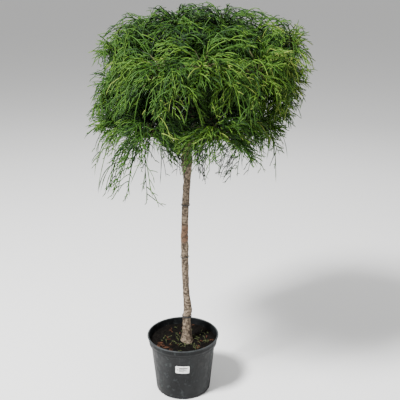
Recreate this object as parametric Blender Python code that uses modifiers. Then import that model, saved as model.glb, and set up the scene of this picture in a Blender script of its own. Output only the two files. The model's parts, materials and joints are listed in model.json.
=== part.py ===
"""Thread-leaved sawara cypress, grafted as a weeping standard and grown in a nursery pot.

Lengths are metres and +Z is up. The origin is the middle of the pot's flat underside. The
front of the plant, with the label, faces -Y. Azimuths are degrees round +Z from +X.
"""

import math
import random
from dataclasses import dataclass

import bmesh
import bpy
import numpy as np
from mathutils import Vector

GAP = 0.0003
TURN = 2 * math.pi

# Pot: a turned plastic shell with a rolled lip over a band, and holes round its lower corner
POT_HEIGHT = 0.230
LIP_RADIUS = 0.140
LIP_DEPTH = 0.0045
LIP_ROUND = 0.3
BAND_TOP_RADIUS = 0.1364
BAND_FOOT_RADIUS = 0.1332
BAND_FOOT = 0.197
SHOULDER_DROP = 0.0035
WALL_TOP_RADIUS = 0.1255
WALL_FOOT_RADIUS = 0.1075
CORNER_RADIUS = 0.0065
POT_WALL = 0.0028
POT_SIDES = 30
HOLE_COUNT = 8
HOLE_RADIUS = 0.0055
HOLE_FIRST_AZIMUTH = -92.5
HOLE_TILT = 42.0
HOLE_SIDES = 6

# Soil: fills the pot to two fingers' breadth below the lip, a little higher round its edge
SOIL_TOP = 0.2015
SOIL_RIM_RISE = 0.0025
SOIL_FLAT_RADIUS = 0.040
# Two rings of the soil's surface: (radius, share of the rim's rise)
SOIL_SWELLS = ((0.075, 0.3), (0.108, 0.2))

# Label: a bare plate with round corners, bent round the front of the wall
LABEL_WIDTH = 0.053
LABEL_HEIGHT = 0.032
LABEL_THICKNESS = 0.0008
LABEL_CORNER = 0.004
LABEL_MIDDLE = 0.1415
LABEL_AZIMUTH = -90.0
LABEL_TURN = 2.0
LABEL_STRIPS = 8

# Trunk: (height, lean towards +X, radius), from the ground past the graft to the leader's tip
TRUNK_STATIONS = (
    (0.2018, 0.0156, 0.0190),
    (0.245, 0.0158, 0.0176),
    (0.290, 0.0145, 0.0156),
    (0.345, 0.0186, 0.0153),
    (0.400, 0.0147, 0.0128),
    (0.480, 0.0110, 0.0128),
    (0.600, 0.0092, 0.0137),
    (0.704, 0.0107, 0.0126),
    (0.790, 0.0150, 0.0134),
    (0.862, 0.0200, 0.0130),
    (0.900, 0.0197, 0.0174),
    (0.930, 0.0190, 0.0196),
    (0.962, 0.0205, 0.0172),
    (1.050, 0.0300, 0.0158),
    (1.120, 0.0350, 0.0140),
    (1.150, 0.0360, 0.0100),
)
TRUNK_SIDES = 10
TRUNK_RING_PITCH = 0.036
FLARE_HEIGHT = 0.016
# Root toes: (azimuth, how far the toe stands out of the trunk at the ground)
TOES = ((-176, 0.008), (-78, 0.015), (12, 0.007), (95, 0.009))
# Knots: (height, azimuth, how far the knot stands out)
KNOTS = (
    (0.332, -10, 0.0040),
    (0.357, -95, 0.0030),
    (0.515, 0, 0.0020),
    (0.592, -8, 0.0022),
    (0.642, 185, 0.0024),
    (0.832, 178, 0.0026),
    (0.934, -15, 0.0030),
)
KNOT_SPREAD = 0.011

# Ties: dark bands left round the trunk, (name, height of the middle, width)
TIES = (("tie_low", 0.309, 0.0075), ("tie_mid", 0.558, 0.0035), ("tie_high", 0.765, 0.0045))
TIE_THICKNESS = 0.0014
TIE_SIDES = 12
TIE_SLACK = 0.0012

# Boughs: one tapering limb from the trunk to each mass of foliage
BOUGH_BASE_RADIUS = 0.0062
BOUGH_TIP_RADIUS = 0.0036
BOUGH_POINTS = 5
BOUGH_BEND_REACH = 0.42
BOUGH_BEND_RISE = 0.62
BOUGH_STEPS = 39

# Crown: the space that all the foliage together fills, widest at its shoulder
TRUNK_AXIS = 0.035
CROWN_AXIS = 0.080
CROWN_HALF_WIDTH = 0.378
CROWN_HALF_DEPTH = 0.365
CROWN_SHOULDER = 1.270
CROWN_TOP = 1.480
CROWN_HANG = 0.850
CROWN_SQUARENESS = 2.6
CROWN_LEAN = 0.20
CROWN_WAIST = 0.18

# Foliage: sprays of thread-like cords arch out of a small dark core and hang
CORE_FLATNESS = 0.92
CORE_HANG = 1.35
CORE_LUMP = 0.16
CORE_RAGGEDNESS = 0.30
CORE_CLEARANCE = 0.0025
CORE_TRIM = 0.95
CORE_TRIMS = 60
STEM_REACH = 1.18
STEM_SIDES = 6
STEM_END_RADIUS = 0.0022
CELL_STRETCH = 0.75
SPRAY_COUNT = 19
SPRAY_SPREAD = 1.25
SPRAY_WANDER = 0.25
LIFT_SHARES = (0.3, 1.0)
LENGTH_SHARES = (0.85, 1.15)
SPRAY_RADIUS = 0.0082
SPRAY_ROOT = 0.6
SPRAY_SWELL = 0.9
SPRAY_WIDENING = 1.6
SPRAY_TOOTH = 0.15
SPRAY_STEPS = 4
SPRAY_ROOT_SHARE = 0.7
FORK_EVERY = 4
FORK_START = 0.42
FORK_SHARE = 0.55
FORK_STEPS = 2
FORK_TURN = 36.0
FORK_FLARE = 0.2
FORK_RADIUS = 0.0066
# (share of the full length, how much steeper it bends), in the order that they are tried
THREAD_TRIES = ((1.0, 1.0), (1.0, 1.6), (0.85, 1.2), (0.85, 2.2), (0.7, 1.2), (0.7, 2.4), (0.5, 1.8))
FOLIAGE_GAP = 0.0006
# How finely limbs and threads are sampled when their distances are compared
LIMB_PITCH = 0.004
LIMB_SPOTS = 60
FIT_SPOTS = 8
ROOT_SHARE = 0.35
GOLDEN_ANGLE = math.pi * (3 - math.sqrt(5))


@dataclass(frozen=True)
class Mass:
    """One mass of foliage: where its core's middle is, where its bough leaves the trunk, and how
    its sprays grow."""

    name: str
    azimuth: float
    reach: float
    height: float
    foot: float
    size: float
    spray: float
    lift: float
    droop: float


# (name, azimuth, reach, height, foot, core size, spray length, lift at the root, droop)
MASSES = tuple(
    Mass(*row)
    for row in (
        ("top_left", -140, 0.052, 1.385, 1.140, 0.054, 0.120, 0.7, 15.0),
        ("top_right", -10, 0.108, 1.382, 1.136, 0.054, 0.120, 0.5, 15.0),
        ("top_back", 80, 0.132, 1.355, 1.128, 0.054, 0.120, 0.8, 15.0),
        ("shoulder_left", 172, 0.150, 1.354, 1.112, 0.054, 0.130, 0.3, 16.0),
        ("shoulder_right", 8, 0.225, 1.336, 1.108, 0.054, 0.140, 0.3, 16.0),
        ("far_left", 181, 0.260, 1.296, 1.086, 0.052, 0.170, 0.7, 17.0),
        ("far_right", -5, 0.345, 1.314, 1.082, 0.050, 0.180, 0.8, 17.0),
        ("front_left", -114, 0.222, 1.252, 1.058, 0.056, 0.200, 0.5, 17.0),
        ("front_middle", -80, 0.240, 1.270, 1.078, 0.056, 0.200, 0.5, 17.0),
        ("front_right", -40, 0.280, 1.252, 1.062, 0.056, 0.200, 0.5, 17.0),
        ("back_left", 124, 0.235, 1.256, 1.060, 0.056, 0.200, 0.5, 17.0),
        ("back_middle", 85, 0.255, 1.268, 1.080, 0.056, 0.200, 0.5, 17.0),
        ("back_right", 44, 0.280, 1.252, 1.064, 0.056, 0.200, 0.5, 17.0),
        ("mid_left", 178, 0.252, 1.170, 1.048, 0.050, 0.170, 0.4, 17.0),
        ("mid_right", -3, 0.300, 1.180, 1.044, 0.052, 0.180, 0.4, 17.0),
        ("low_left", -177, 0.254, 1.056, 1.004, 0.052, 0.210, 0.7, 14.0),
        ("low_front_left", -130, 0.205, 1.058, 1.012, 0.054, 0.240, 0.3, 17.0),
        ("low_front_right", -66, 0.230, 1.062, 1.000, 0.056, 0.260, 0.3, 17.0),
        ("low_right", -8, 0.260, 1.052, 0.998, 0.056, 0.230, 0.6, 16.0),
        ("low_back_left", 132, 0.215, 1.070, 1.000, 0.054, 0.230, 0.3, 17.0),
        ("low_back_right", 62, 0.237, 1.070, 1.010, 0.056, 0.240, 0.3, 17.0),
    )
)


def clear_scene():
    for scene_object in list(bpy.data.objects):
        bpy.data.objects.remove(scene_object, do_unlink=True)


def make_collection(name, hidden=False):
    collection = bpy.data.collections.new(name)
    bpy.context.scene.collection.children.link(collection)
    collection.hide_render = hidden
    return collection


def make_material(name, color, roughness):
    material = bpy.data.materials.new(name)
    material.use_nodes = True
    shader = material.node_tree.nodes["Principled BSDF"]
    shader.inputs["Base Color"].default_value = (*color, 1.0)
    shader.inputs["Roughness"].default_value = roughness
    shader.inputs["Metallic"].default_value = 0.0
    return material


def add_object(name, data, collection, material=None):
    new_object = bpy.data.objects.new(name, data)
    collection.objects.link(new_object)
    if material is not None:
        data.materials.clear()
        data.materials.append(material)
    return new_object


def add_bmesh(name, shape, collection, material=None):
    mesh = bpy.data.meshes.new(name)
    shape.to_mesh(mesh)
    shape.free()
    return add_object(name, mesh, collection, material)


def compass(azimuth):
    """The level direction at an azimuth in degrees."""
    angle = math.radians(azimuth)
    return Vector((math.cos(angle), math.sin(angle), 0.0))


def baked(target):
    """Replaces an object's mesh by what its modifiers make of it."""
    bpy.context.view_layer.update()
    evaluated = target.evaluated_get(bpy.context.evaluated_depsgraph_get())
    mesh = bpy.data.meshes.new_from_object(evaluated)
    target.modifiers.clear()
    target.data = mesh
    return target


def turned(name, profile, sides, collection, material):
    """Solid of revolution about Z. The profile is (radius, height), down its outer side."""
    mesh = bpy.data.meshes.new(name)
    points = [(radius, 0.0, height) for radius, height in profile]
    mesh.from_pydata(points, [(i, i + 1) for i in range(len(points) - 1)], [])
    solid = add_object(name, mesh, collection, material)
    screw = solid.modifiers.new("turn", "SCREW")
    screw.steps = sides
    screw.render_steps = sides
    screw.use_merge_vertices = True
    screw.merge_threshold = 0.00001
    screw.use_smooth_shade = True
    return solid


def loft(name, rings, collection, material=None, point=None):
    """Skin over rings with equal counts of corners, closed by a flat end or drawn in to a point."""
    shape = bmesh.new()
    sections = [[shape.verts.new(corner) for corner in ring] for ring in rings]
    sides = len(sections[0])
    for lower, upper in zip(sections, sections[1:]):
        for i in range(sides):
            j = (i + 1) % sides
            shape.faces.new((lower[i], lower[j], upper[j], upper[i]))
    shape.faces.new(sections[0][::-1])
    if point is None:
        shape.faces.new(sections[-1])
    else:
        tip = shape.verts.new(point)
        for i in range(sides):
            shape.faces.new((sections[-1][i], sections[-1][(i + 1) % sides], tip))
    return add_bmesh(name, shape, collection, material)


def wall_radius(height):
    """Outer radius of the pot's wall below the band."""
    top = BAND_FOOT - SHOULDER_DROP
    share = (height - CORNER_RADIUS) / (top - CORNER_RADIUS)
    return WALL_FOOT_RADIUS + (WALL_TOP_RADIUS - WALL_FOOT_RADIUS) * share


def build_pot(collection, cutters, material):
    lip_foot = POT_HEIGHT - LIP_DEPTH
    lip_round = LIP_ROUND * LIP_DEPTH
    shoulder = BAND_FOOT - SHOULDER_DROP
    corner_middle = WALL_FOOT_RADIUS - CORNER_RADIUS
    corner = [
        (
            corner_middle + CORNER_RADIUS * math.cos(math.radians(angle)),
            CORNER_RADIUS - CORNER_RADIUS * math.sin(math.radians(angle)),
        )
        for angle in (0, 30, 60, 90)
    ]
    profile = [
        (0.0, POT_WALL),
        (corner_middle, POT_WALL),
        (WALL_FOOT_RADIUS - POT_WALL, CORNER_RADIUS + POT_WALL),
        (WALL_TOP_RADIUS - POT_WALL, shoulder + POT_WALL),
        (BAND_FOOT_RADIUS - POT_WALL, BAND_FOOT + POT_WALL),
        (BAND_TOP_RADIUS - POT_WALL, POT_HEIGHT - lip_round),
        (BAND_TOP_RADIUS - POT_WALL + lip_round, POT_HEIGHT),
        (LIP_RADIUS - lip_round, POT_HEIGHT),
        (LIP_RADIUS, POT_HEIGHT - lip_round),
        (LIP_RADIUS, lip_foot + lip_round),
        (LIP_RADIUS - lip_round, lip_foot),
        (BAND_TOP_RADIUS, lip_foot),
        (BAND_FOOT_RADIUS, BAND_FOOT),
        (WALL_TOP_RADIUS, shoulder),
        *corner,
        (0.0, 0.0),
    ]
    pot = turned("pot", profile, POT_SIDES, collection, material)

    holes = bmesh.new()
    tilt = math.radians(HOLE_TILT)
    for i in range(HOLE_COUNT):
        outward = compass(HOLE_FIRST_AZIMUTH + 360 * i / HOLE_COUNT)
        axis = outward * math.cos(tilt) - Vector((0, 0, 1)) * math.sin(tilt)
        made = bmesh.ops.create_cone(
            holes,
            cap_ends=True,
            segments=HOLE_SIDES,
            radius1=HOLE_RADIUS,
            radius2=HOLE_RADIUS,
            depth=6 * CORNER_RADIUS,
        )
        turn = Vector((0, 0, 1)).rotation_difference(axis).to_matrix()
        bmesh.ops.rotate(holes, verts=made["verts"], cent=(0, 0, 0), matrix=turn)
        place = outward * (WALL_FOOT_RADIUS - CORNER_RADIUS / 2) + Vector((0, 0, CORNER_RADIUS / 2))
        bmesh.ops.translate(holes, verts=made["verts"], vec=place)
    cutter = add_bmesh("drain_hole_cutters", holes, cutters)
    cutter.hide_render = True
    cutter.display_type = "WIRE"
    cut = pot.modifiers.new("drain holes", "BOOLEAN")
    cut.operation = "DIFFERENCE"
    cut.object = cutter
    return pot


def build_soil(collection, material):
    inner_gap = POT_WALL + GAP / math.cos(math.pi / POT_SIDES)
    rim = SOIL_TOP + SOIL_RIM_RISE
    shoulder = BAND_FOOT - SHOULDER_DROP
    slope = (BAND_FOOT_RADIUS - WALL_TOP_RADIUS) / SHOULDER_DROP
    profile = [
        (0.0, SOIL_TOP),
        (SOIL_FLAT_RADIUS, SOIL_TOP),
        *((radius, SOIL_TOP + share * SOIL_RIM_RISE) for radius, share in SOIL_SWELLS),
        (BAND_FOOT_RADIUS - inner_gap, rim),
        (BAND_FOOT_RADIUS - inner_gap, BAND_FOOT + POT_WALL + GAP * (1 + slope)),
        (WALL_TOP_RADIUS - inner_gap, shoulder + POT_WALL + GAP * slope),
        (WALL_FOOT_RADIUS - inner_gap, CORNER_RADIUS + POT_WALL + GAP),
        (WALL_FOOT_RADIUS - CORNER_RADIUS - GAP, POT_WALL + GAP),
        (0.0, POT_WALL + GAP),
    ]
    return turned("soil", profile, POT_SIDES, collection, material)


def build_label(collection, material):
    """A plate cut in upright strips, each of whose corners is wrapped round the conical wall."""
    shape = bmesh.new()
    made = bmesh.ops.create_cube(shape, size=1.0)
    bmesh.ops.scale(shape, verts=made["verts"], vec=(LABEL_WIDTH, LABEL_THICKNESS, LABEL_HEIGHT))
    corners = [
        edge
        for edge in shape.edges
        if abs(edge.verts[0].co.y - edge.verts[1].co.y) > 0.5 * LABEL_THICKNESS
    ]
    bmesh.ops.bevel(
        shape, geom=corners, offset=LABEL_CORNER, segments=3, profile=0.5, affect="EDGES"
    )
    for i in range(1, LABEL_STRIPS):
        side = LABEL_WIDTH * (i / LABEL_STRIPS - 0.5)
        everything = shape.verts[:] + shape.edges[:] + shape.faces[:]
        bmesh.ops.bisect_plane(shape, geom=everything, plane_co=(side, 0, 0), plane_no=(1, 0, 0))
    bmesh.ops.triangulate(shape, faces=shape.faces[:])
    turn = math.radians(LABEL_TURN)
    for corner in shape.verts:
        across = corner.co.x * math.cos(turn) + corner.co.z * math.sin(turn)
        up = corner.co.z * math.cos(turn) - corner.co.x * math.sin(turn)
        height = LABEL_MIDDLE + up
        standing_out = 0.5 * LABEL_THICKNESS - corner.co.y
        radius = wall_radius(height) + 1.5 * GAP + standing_out
        azimuth = LABEL_AZIMUTH + math.degrees(across / wall_radius(LABEL_MIDDLE))
        place = compass(azimuth) * radius
        corner.co = (place.x, place.y, height)
    bmesh.ops.recalc_face_normals(shape, faces=shape.faces[:])
    return add_bmesh("label", shape, collection, material)


def trunk_section(height):
    """(lean, radius) of the trunk at a height, on smooth curves through the stations."""
    heights, leans, radii = (np.array(column) for column in zip(*TRUNK_STATIONS))
    values = []
    for column in (leans, radii):
        slopes = np.gradient(column, heights)
        i = int(np.clip(np.searchsorted(heights, height) - 1, 0, len(heights) - 2))
        width = heights[i + 1] - heights[i]
        t = float(np.clip((height - heights[i]) / width, 0, 1))
        values.append(
            (2 * t**3 - 3 * t**2 + 1) * column[i]
            + (t**3 - 2 * t**2 + t) * width * slopes[i]
            + (3 * t**2 - 2 * t**3) * column[i + 1]
            + (t**3 - t**2) * width * slopes[i + 1]
        )
    return values


def trunk_relief(height, angle):
    """How far toes and knots stand out of the round trunk at a height and an angle."""
    above = height - TRUNK_STATIONS[0][0]
    relief = sum(
        out * math.exp(-above / FLARE_HEIGHT) * max(0.0, math.cos(angle - math.radians(azimuth))) ** 3
        for azimuth, out in TOES
    )
    for knot_height, azimuth, out in KNOTS:
        facing = max(0.0, math.cos(angle - math.radians(azimuth)))
        relief += out * facing**2 * math.exp(-(((height - knot_height) / KNOT_SPREAD) ** 2))
    return relief


def trunk_heights():
    """Ring heights: close together over the flare, the knots and the graft, wider between."""
    foot, top = TRUNK_STATIONS[0][0], TRUNK_STATIONS[-1][0]
    heights = {foot, foot + 0.006, foot + 0.014, foot + 0.026, top}
    heights |= {height for height, *_ in KNOTS}
    heights |= {height + side * KNOT_SPREAD for height, *_ in KNOTS for side in (-1.2, 1.2)}
    steps = int((top - foot) / TRUNK_RING_PITCH)
    for i in range(2, steps):
        height = foot + i * (top - foot) / steps
        if min(abs(height - other) for other in heights) > 0.4 * TRUNK_RING_PITCH:
            heights.add(height)
    return sorted(heights)


def build_trunk(collection, material):
    rings = []
    for height in trunk_heights():
        lean, radius = trunk_section(height)
        ring = []
        for i in range(TRUNK_SIDES):
            angle = TURN * i / TRUNK_SIDES
            out = radius + trunk_relief(height, angle)
            ring.append((lean + out * math.cos(angle), out * math.sin(angle), height))
        rings.append(ring)
    trunk = loft("trunk", rings, collection, material)
    trunk.data.shade_smooth()
    return trunk


def build_tie(name, height, width, collection, material):
    """A flat band that lies round the trunk and clears its widest corner."""
    lean = trunk_section(height)[0]
    trunk_out = max(
        trunk_section(height + share * width)[1]
        + trunk_relief(height + share * width, TURN * i / TRUNK_SIDES)
        + abs(trunk_section(height + share * width)[0] - lean)
        for share in (-0.5, 0.0, 0.5)
        for i in range(TRUNK_SIDES)
    )
    inner = trunk_out / math.cos(math.pi / TIE_SIDES) + TIE_SLACK
    outer = inner + TIE_THICKNESS
    low, high = height - width / 2, height + width / 2
    profile = [(inner, low), (inner, high), (outer, high), (outer, low), (inner, low)]
    band = turned(name, profile, TIE_SIDES, collection, material)
    band.location.x = lean
    return band


def bough_points(mass):
    """Middle line of a bough: out and up from the trunk, then level towards its mass."""
    lean, radius = trunk_section(mass.foot)
    outward = compass(mass.azimuth)
    middle = mass_middle(mass)
    start = Vector((lean, 0.0, mass.foot)) + outward * (radius - BOUGH_BASE_RADIUS)
    rise = middle.z - mass.foot
    bend = start + outward * (BOUGH_BEND_REACH * mass.reach) + Vector((0, 0, BOUGH_BEND_RISE * rise))
    entry = (middle - bend).normalized()
    end = middle - entry * (STEM_REACH * mass.size)
    points = []
    for i in range(BOUGH_STEPS + 1):
        t = i / BOUGH_STEPS
        points.append(start * (1 - t) ** 2 + bend * 2 * t * (1 - t) + end * t**2)
    return points


def mass_middle(mass):
    return Vector((TRUNK_AXIS, 0.0, mass.height)) + compass(mass.azimuth) * mass.reach


def outside_trunk(points, radius):
    """The part of a path whose own thickness has come clear of the trunk's surface."""
    for i, point in enumerate(points):
        direction = (points[min(i + 1, len(points) - 1)] - point).normalized()
        level_spread = radius * abs(direction.z)
        upright_spread = radius * math.sqrt(max(0.0, 1 - direction.z**2))
        clear = all(
            math.hypot(point.x - lean, point.y) - level_spread > trunk_out + 2 * GAP
            for lean, trunk_out in (
                trunk_reach(point.z + share * upright_spread) for share in (-1, 0, 1)
            )
        )
        if clear:
            return points[i:]
    return []


def trunk_reach(height):
    """(lean, outermost radius) of the trunk at a height, and nothing above its tip."""
    if height > TRUNK_STATIONS[-1][0] + GAP:
        return 0.0, -1.0
    lean, radius = trunk_section(height)
    return lean, radius + max(trunk_relief(height, TURN * i / 8) for i in range(8))


def resampled(points, count):
    """The same path through a given count of evenly spaced points."""
    line = np.array(points)
    along = np.concatenate([[0], np.cumsum(np.linalg.norm(np.diff(line, axis=0), axis=1))])
    spots = np.linspace(0, along[-1], count)
    return np.column_stack([np.interp(spots, along, line[:, k]) for k in range(3)])


def build_bough(mass, path, collection, material):
    curve = bpy.data.curves.new("bough_" + mass.name, "CURVE")
    curve.dimensions = "3D"
    curve.bevel_depth = 1.0
    curve.bevel_resolution = 1
    curve.use_fill_caps = True
    spline = curve.splines.new("POLY")
    spline.points.add(len(path) - 1)
    for i, (point, place) in enumerate(zip(spline.points, path)):
        share = i / (len(path) - 1)
        point.co = (*place, 1.0)
        point.radius = BOUGH_BASE_RADIUS + (BOUGH_TIP_RADIUS - BOUGH_BASE_RADIUS) * share
    return add_object("bough_" + mass.name, curve, collection, material)


class Limbs:
    """Spheres along the trunk and every bough, which foliage keeps clear of."""

    def __init__(self, bough_paths):
        places, radii = [], []
        for height in np.arange(TRUNK_STATIONS[0][0], TRUNK_STATIONS[-1][0], LIMB_PITCH):
            lean, out = trunk_reach(height)
            places.append((lean, 0.0, height))
            radii.append(out)
        for path in bough_paths:
            fine = resampled(path, LIMB_SPOTS)
            places.extend(fine)
            radii.extend(np.linspace(BOUGH_BASE_RADIUS, BOUGH_TIP_RADIUS, len(fine)))
        self.places = np.array(places)
        self.radii = np.array(radii)

    def clearance(self, points):
        """Smallest distance from each point to a limb's surface."""
        apart = np.linalg.norm(points[:, None, :] - self.places[None, :, :], axis=2)
        return (apart - self.radii[None, :]).min(axis=1)


class Cells:
    """Each mass keeps to the space that is nearer to its middle than to any other's."""

    def __init__(self, masses):
        self.scale = np.array((1.0, 1.0, CELL_STRETCH))
        self.middles = np.array([mass_middle(mass) for mass in masses])

    def depth(self, index, points):
        """How far each point lies inside the cell's nearest wall."""
        squared = (((points[:, None, :] - self.middles[None]) * self.scale) ** 2).sum(axis=2)
        across = (self.middles - self.middles[index]) * self.scale**2
        widths = 2 * np.linalg.norm(across, axis=1)
        widths[index] = 1.0
        depths = (squared - squared[:, [index]]) / widths
        depths[:, index] = np.inf
        return depths.min(axis=1)


def core_points(mass, directions, index, cells, limbs, triangles):
    """A lumpy ball round the mass's middle, drawn in where it would leave its cell or near a limb."""
    rng = random.Random("core " + mass.name)
    phases = [rng.uniform(0, TURN) for _ in range(3)]
    middle = np.array(mass_middle(mass))
    waves = np.prod([np.sin(3 * directions[:, k] + phases[k]) for k in range(3)], axis=0)
    radii = mass.size * (1 + 2 * CORE_LUMP * waves)
    radii *= np.where(directions[:, 2] > 0, CORE_FLATNESS, CORE_HANG) ** np.abs(directions[:, 2])
    radii *= [rng.uniform(1 - CORE_RAGGEDNESS, 1 + CORE_RAGGEDNESS) for _ in radii]
    for _ in range(CORE_TRIMS):
        outside = cells.depth(index, middle + directions * radii[:, None]) < CORE_CLEARANCE
        if not outside.any():
            break
        radii[outside] *= CORE_TRIM
    weights = np.array([(a, b, 4 - a - b) for a in range(5) for b in range(5 - a)]) / 4
    for _ in range(CORE_TRIMS):
        points = middle + directions * radii[:, None]
        spots = np.einsum("wk,tkc->twc", weights, points[triangles])
        near = limbs.clearance(spots.reshape(-1, 3)).reshape(spots.shape[:2]).min(axis=1)
        crowded = np.unique(triangles[near < CORE_CLEARANCE])
        if not len(crowded):
            break
        radii[crowded] *= CORE_TRIM
    return middle + directions * radii[:, None]


def build_core(mass, index, cells, limbs, collection):
    shape = bmesh.new()
    bmesh.ops.create_icosphere(shape, subdivisions=2, radius=1.0)
    shape.verts.ensure_lookup_table()
    directions = np.array([vert.co.normalized() for vert in shape.verts])
    triangles = np.array([[vert.index for vert in face.verts] for face in shape.faces])
    for vert, place in zip(
        shape.verts, core_points(mass, directions, index, cells, limbs, triangles)
    ):
        vert.co = place
    return add_bmesh("core", shape, collection)


def in_crown(points):
    """Whether each point lies under the crown's dome: a squared-off oval that narrows upwards."""
    above = points[:, 2] - CROWN_SHOULDER
    waist = 1 + CROWN_WAIST * np.minimum(above, 0)
    axis = CROWN_AXIS + CROWN_LEAN * np.minimum(above, 0)
    out = np.hypot((points[:, 0] - axis) / CROWN_HALF_WIDTH, points[:, 1] / CROWN_HALF_DEPTH) / waist
    up = np.clip(above / (CROWN_TOP - CROWN_SHOULDER), 0, None)
    return (out**CROWN_SQUARENESS + up**CROWN_SQUARENESS < 1) & (points[:, 2] > CROWN_HANG)


def droop_path(start, heading, length, droop, steps):
    """Points along a cord that sets off along its heading and bends down under its weight."""
    step = length / steps
    points = [np.array(start)]
    direction = np.array(heading) / np.linalg.norm(heading)
    for _ in range(steps):
        points.append(points[-1] + direction * step)
        direction = direction - np.array((0, 0, droop * step))
        direction /= np.linalg.norm(direction)
    return np.array(points)


def thread_radii(thickness, count):
    """A spray is thickest a third of the way along and ends in a point."""
    along = np.linspace(0, 1, count)
    return thickness * (SPRAY_ROOT + SPRAY_SWELL * along) * (1 - along**2)


def thread_rings(path, radii, azimuth):
    """Three-cornered sections square to a thread that stays in one upright plane."""
    side = np.array((-math.sin(azimuth), math.cos(azimuth), 0.0))
    along = np.gradient(path, axis=0)
    along /= np.linalg.norm(along, axis=1)[:, None]
    over = np.cross(along, side)
    angles = TURN * np.arange(3) / 3 + math.pi / 2
    teeth = np.where(np.arange(len(path)) % 2, 1 + SPRAY_TOOTH, 1 - SPRAY_TOOTH)
    across = radii[:, None] * SPRAY_WIDENING * teeth[:, None] * np.cos(angles)
    return (
        path[:, None, :]
        + across[:, :, None] * side
        + radii[:, None, None] * np.sin(angles)[None, :, None] * over[:, None, :]
    )


def nearest(points, others):
    """Distance from each point to the nearest of the others."""
    return np.linalg.norm(points[:, None, :] - others[None, :, :], axis=2).min(axis=1)


def point_along(path, share):
    """The point a share of the way through a path's steps, and the direction there."""
    spot = share * (len(path) - 1)
    before = min(int(spot), len(path) - 2)
    step = path[before + 1] - path[before]
    return path[before] + (spot - before) * step, step / np.linalg.norm(step)


class Foliage:
    """Grows one mass: sprays that arch out of its core, some of them forked."""

    def __init__(self, mass, index, cells, limbs):
        self.mass = mass
        self.index = index
        self.cells = cells
        self.limbs = limbs
        self.rng = random.Random("foliage " + mass.name)
        self.threads = []
        self.taken = np.full((1, 3), np.inf)

    def fits(self, fine, thick):
        """Whether a thread stays in the crown, in its cell, and clear of limbs and other threads."""
        free = slice(int(ROOT_SHARE * len(fine)), None)
        return bool(
            in_crown(fine).all()
            and (self.cells.depth(self.index, fine) > thick).all()
            and (self.limbs.clearance(fine) > thick).all()
            and (nearest(fine[free], self.taken) > thick[free]).all()
        )

    def add(self, start, heading, length, steps, thickness):
        """Adds the first thread that fits, from long ones to short, steep ones: its path or None."""
        azimuth = math.atan2(heading[1], heading[0])
        for share, steeper in THREAD_TRIES:
            path = droop_path(start, heading, share * length, steeper * self.mass.droop, steps)
            radii = thread_radii(thickness, len(path))
            spots = np.linspace(0, steps, FIT_SPOTS * steps + 1)
            fine = np.column_stack([np.interp(spots, range(steps + 1), path[:, k]) for k in range(3)])
            widest = SPRAY_WIDENING * (1 + SPRAY_TOOTH) * radii
            if self.fits(fine, np.interp(spots, range(steps + 1), widest) + FOLIAGE_GAP):
                self.threads.append((path, radii, azimuth))
                self.taken = np.concatenate([self.taken, fine[int(ROOT_SHARE * len(fine)) :]])
                return path
        return None

    def headings(self):
        """Directions spread evenly over all sides, each with a seeded wander and lift."""
        for k in range(SPRAY_COUNT):
            height = 1 - SPRAY_SPREAD * (k + 0.5) / SPRAY_COUNT
            azimuth = k * GOLDEN_ANGLE + self.rng.uniform(-SPRAY_WANDER, SPRAY_WANDER)
            level = math.sqrt(max(0.0, 1 - height**2))
            rise = height + self.mass.lift * self.rng.uniform(*LIFT_SHARES)
            yield np.array((level * math.cos(azimuth), level * math.sin(azimuth), rise))

    def fork(self, spray, length):
        """A shorter spray that leaves another to one side."""
        start, along = point_along(spray, FORK_START)
        azimuth = math.atan2(along[1], along[0])
        azimuth += math.radians(FORK_TURN) * self.rng.choice((-1, 1))
        level = math.hypot(along[0], along[1]) + FORK_FLARE * abs(along[2])
        heading = (level * math.cos(azimuth), level * math.sin(azimuth), along[2])
        self.add(start, heading, FORK_SHARE * length, FORK_STEPS, FORK_RADIUS)

    def grow(self):
        middle = np.array(mass_middle(self.mass))
        for k, heading in enumerate(self.headings()):
            heading /= np.linalg.norm(heading)
            start = middle + heading * SPRAY_ROOT_SHARE * self.mass.size
            length = self.mass.spray * self.rng.uniform(*LENGTH_SHARES)
            spray = self.add(start, heading, length, SPRAY_STEPS, SPRAY_RADIUS)
            if spray is not None and k % FORK_EVERY == 0:
                self.fork(spray, length)
        return self.threads


def build_stem(mass, bough_path, collection):
    """The stem that goes on from the bough's tip into the core, a gap beyond the bough."""
    tip, before = Vector(bough_path[-1]), Vector(bough_path[-2])
    along = (tip - before).normalized()
    start = tip + along * GAP
    middle = mass_middle(mass)
    side = along.cross(Vector((0, 0, 1))).normalized()
    over = side.cross(along)
    rings = []
    for place, radius in ((start, BOUGH_TIP_RADIUS), (middle, STEM_END_RADIUS)):
        angles = [TURN * i / STEM_SIDES for i in range(STEM_SIDES)]
        rings.append(
            [place + radius * (math.cos(angle) * side + math.sin(angle) * over) for angle in angles]
        )
    return loft("stem", rings, collection)


def keep_outer_skin(mesh):
    """Fills the hollows that a union seals, and drops loose scraps: only the largest skin stays."""
    shape = bmesh.new()
    shape.from_mesh(mesh)
    waiting = set(shape.faces)
    skins = []
    while waiting:
        skin, edge_of_skin = set(), [waiting.pop()]
        while edge_of_skin:
            face = edge_of_skin.pop()
            skin.add(face)
            for edge in face.edges:
                if len(edge.link_faces) == 2:
                    other = edge.link_faces[0] if edge.link_faces[1] is face else edge.link_faces[1]
                    if other in waiting:
                        waiting.remove(other)
                        edge_of_skin.append(other)
        skins.append(skin)
    largest = max(skins, key=len)
    spare = [face for skin in skins if skin is not largest for face in skin]
    bmesh.ops.delete(shape, geom=spare, context="FACES")
    shape.to_mesh(mesh)
    shape.free()


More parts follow.
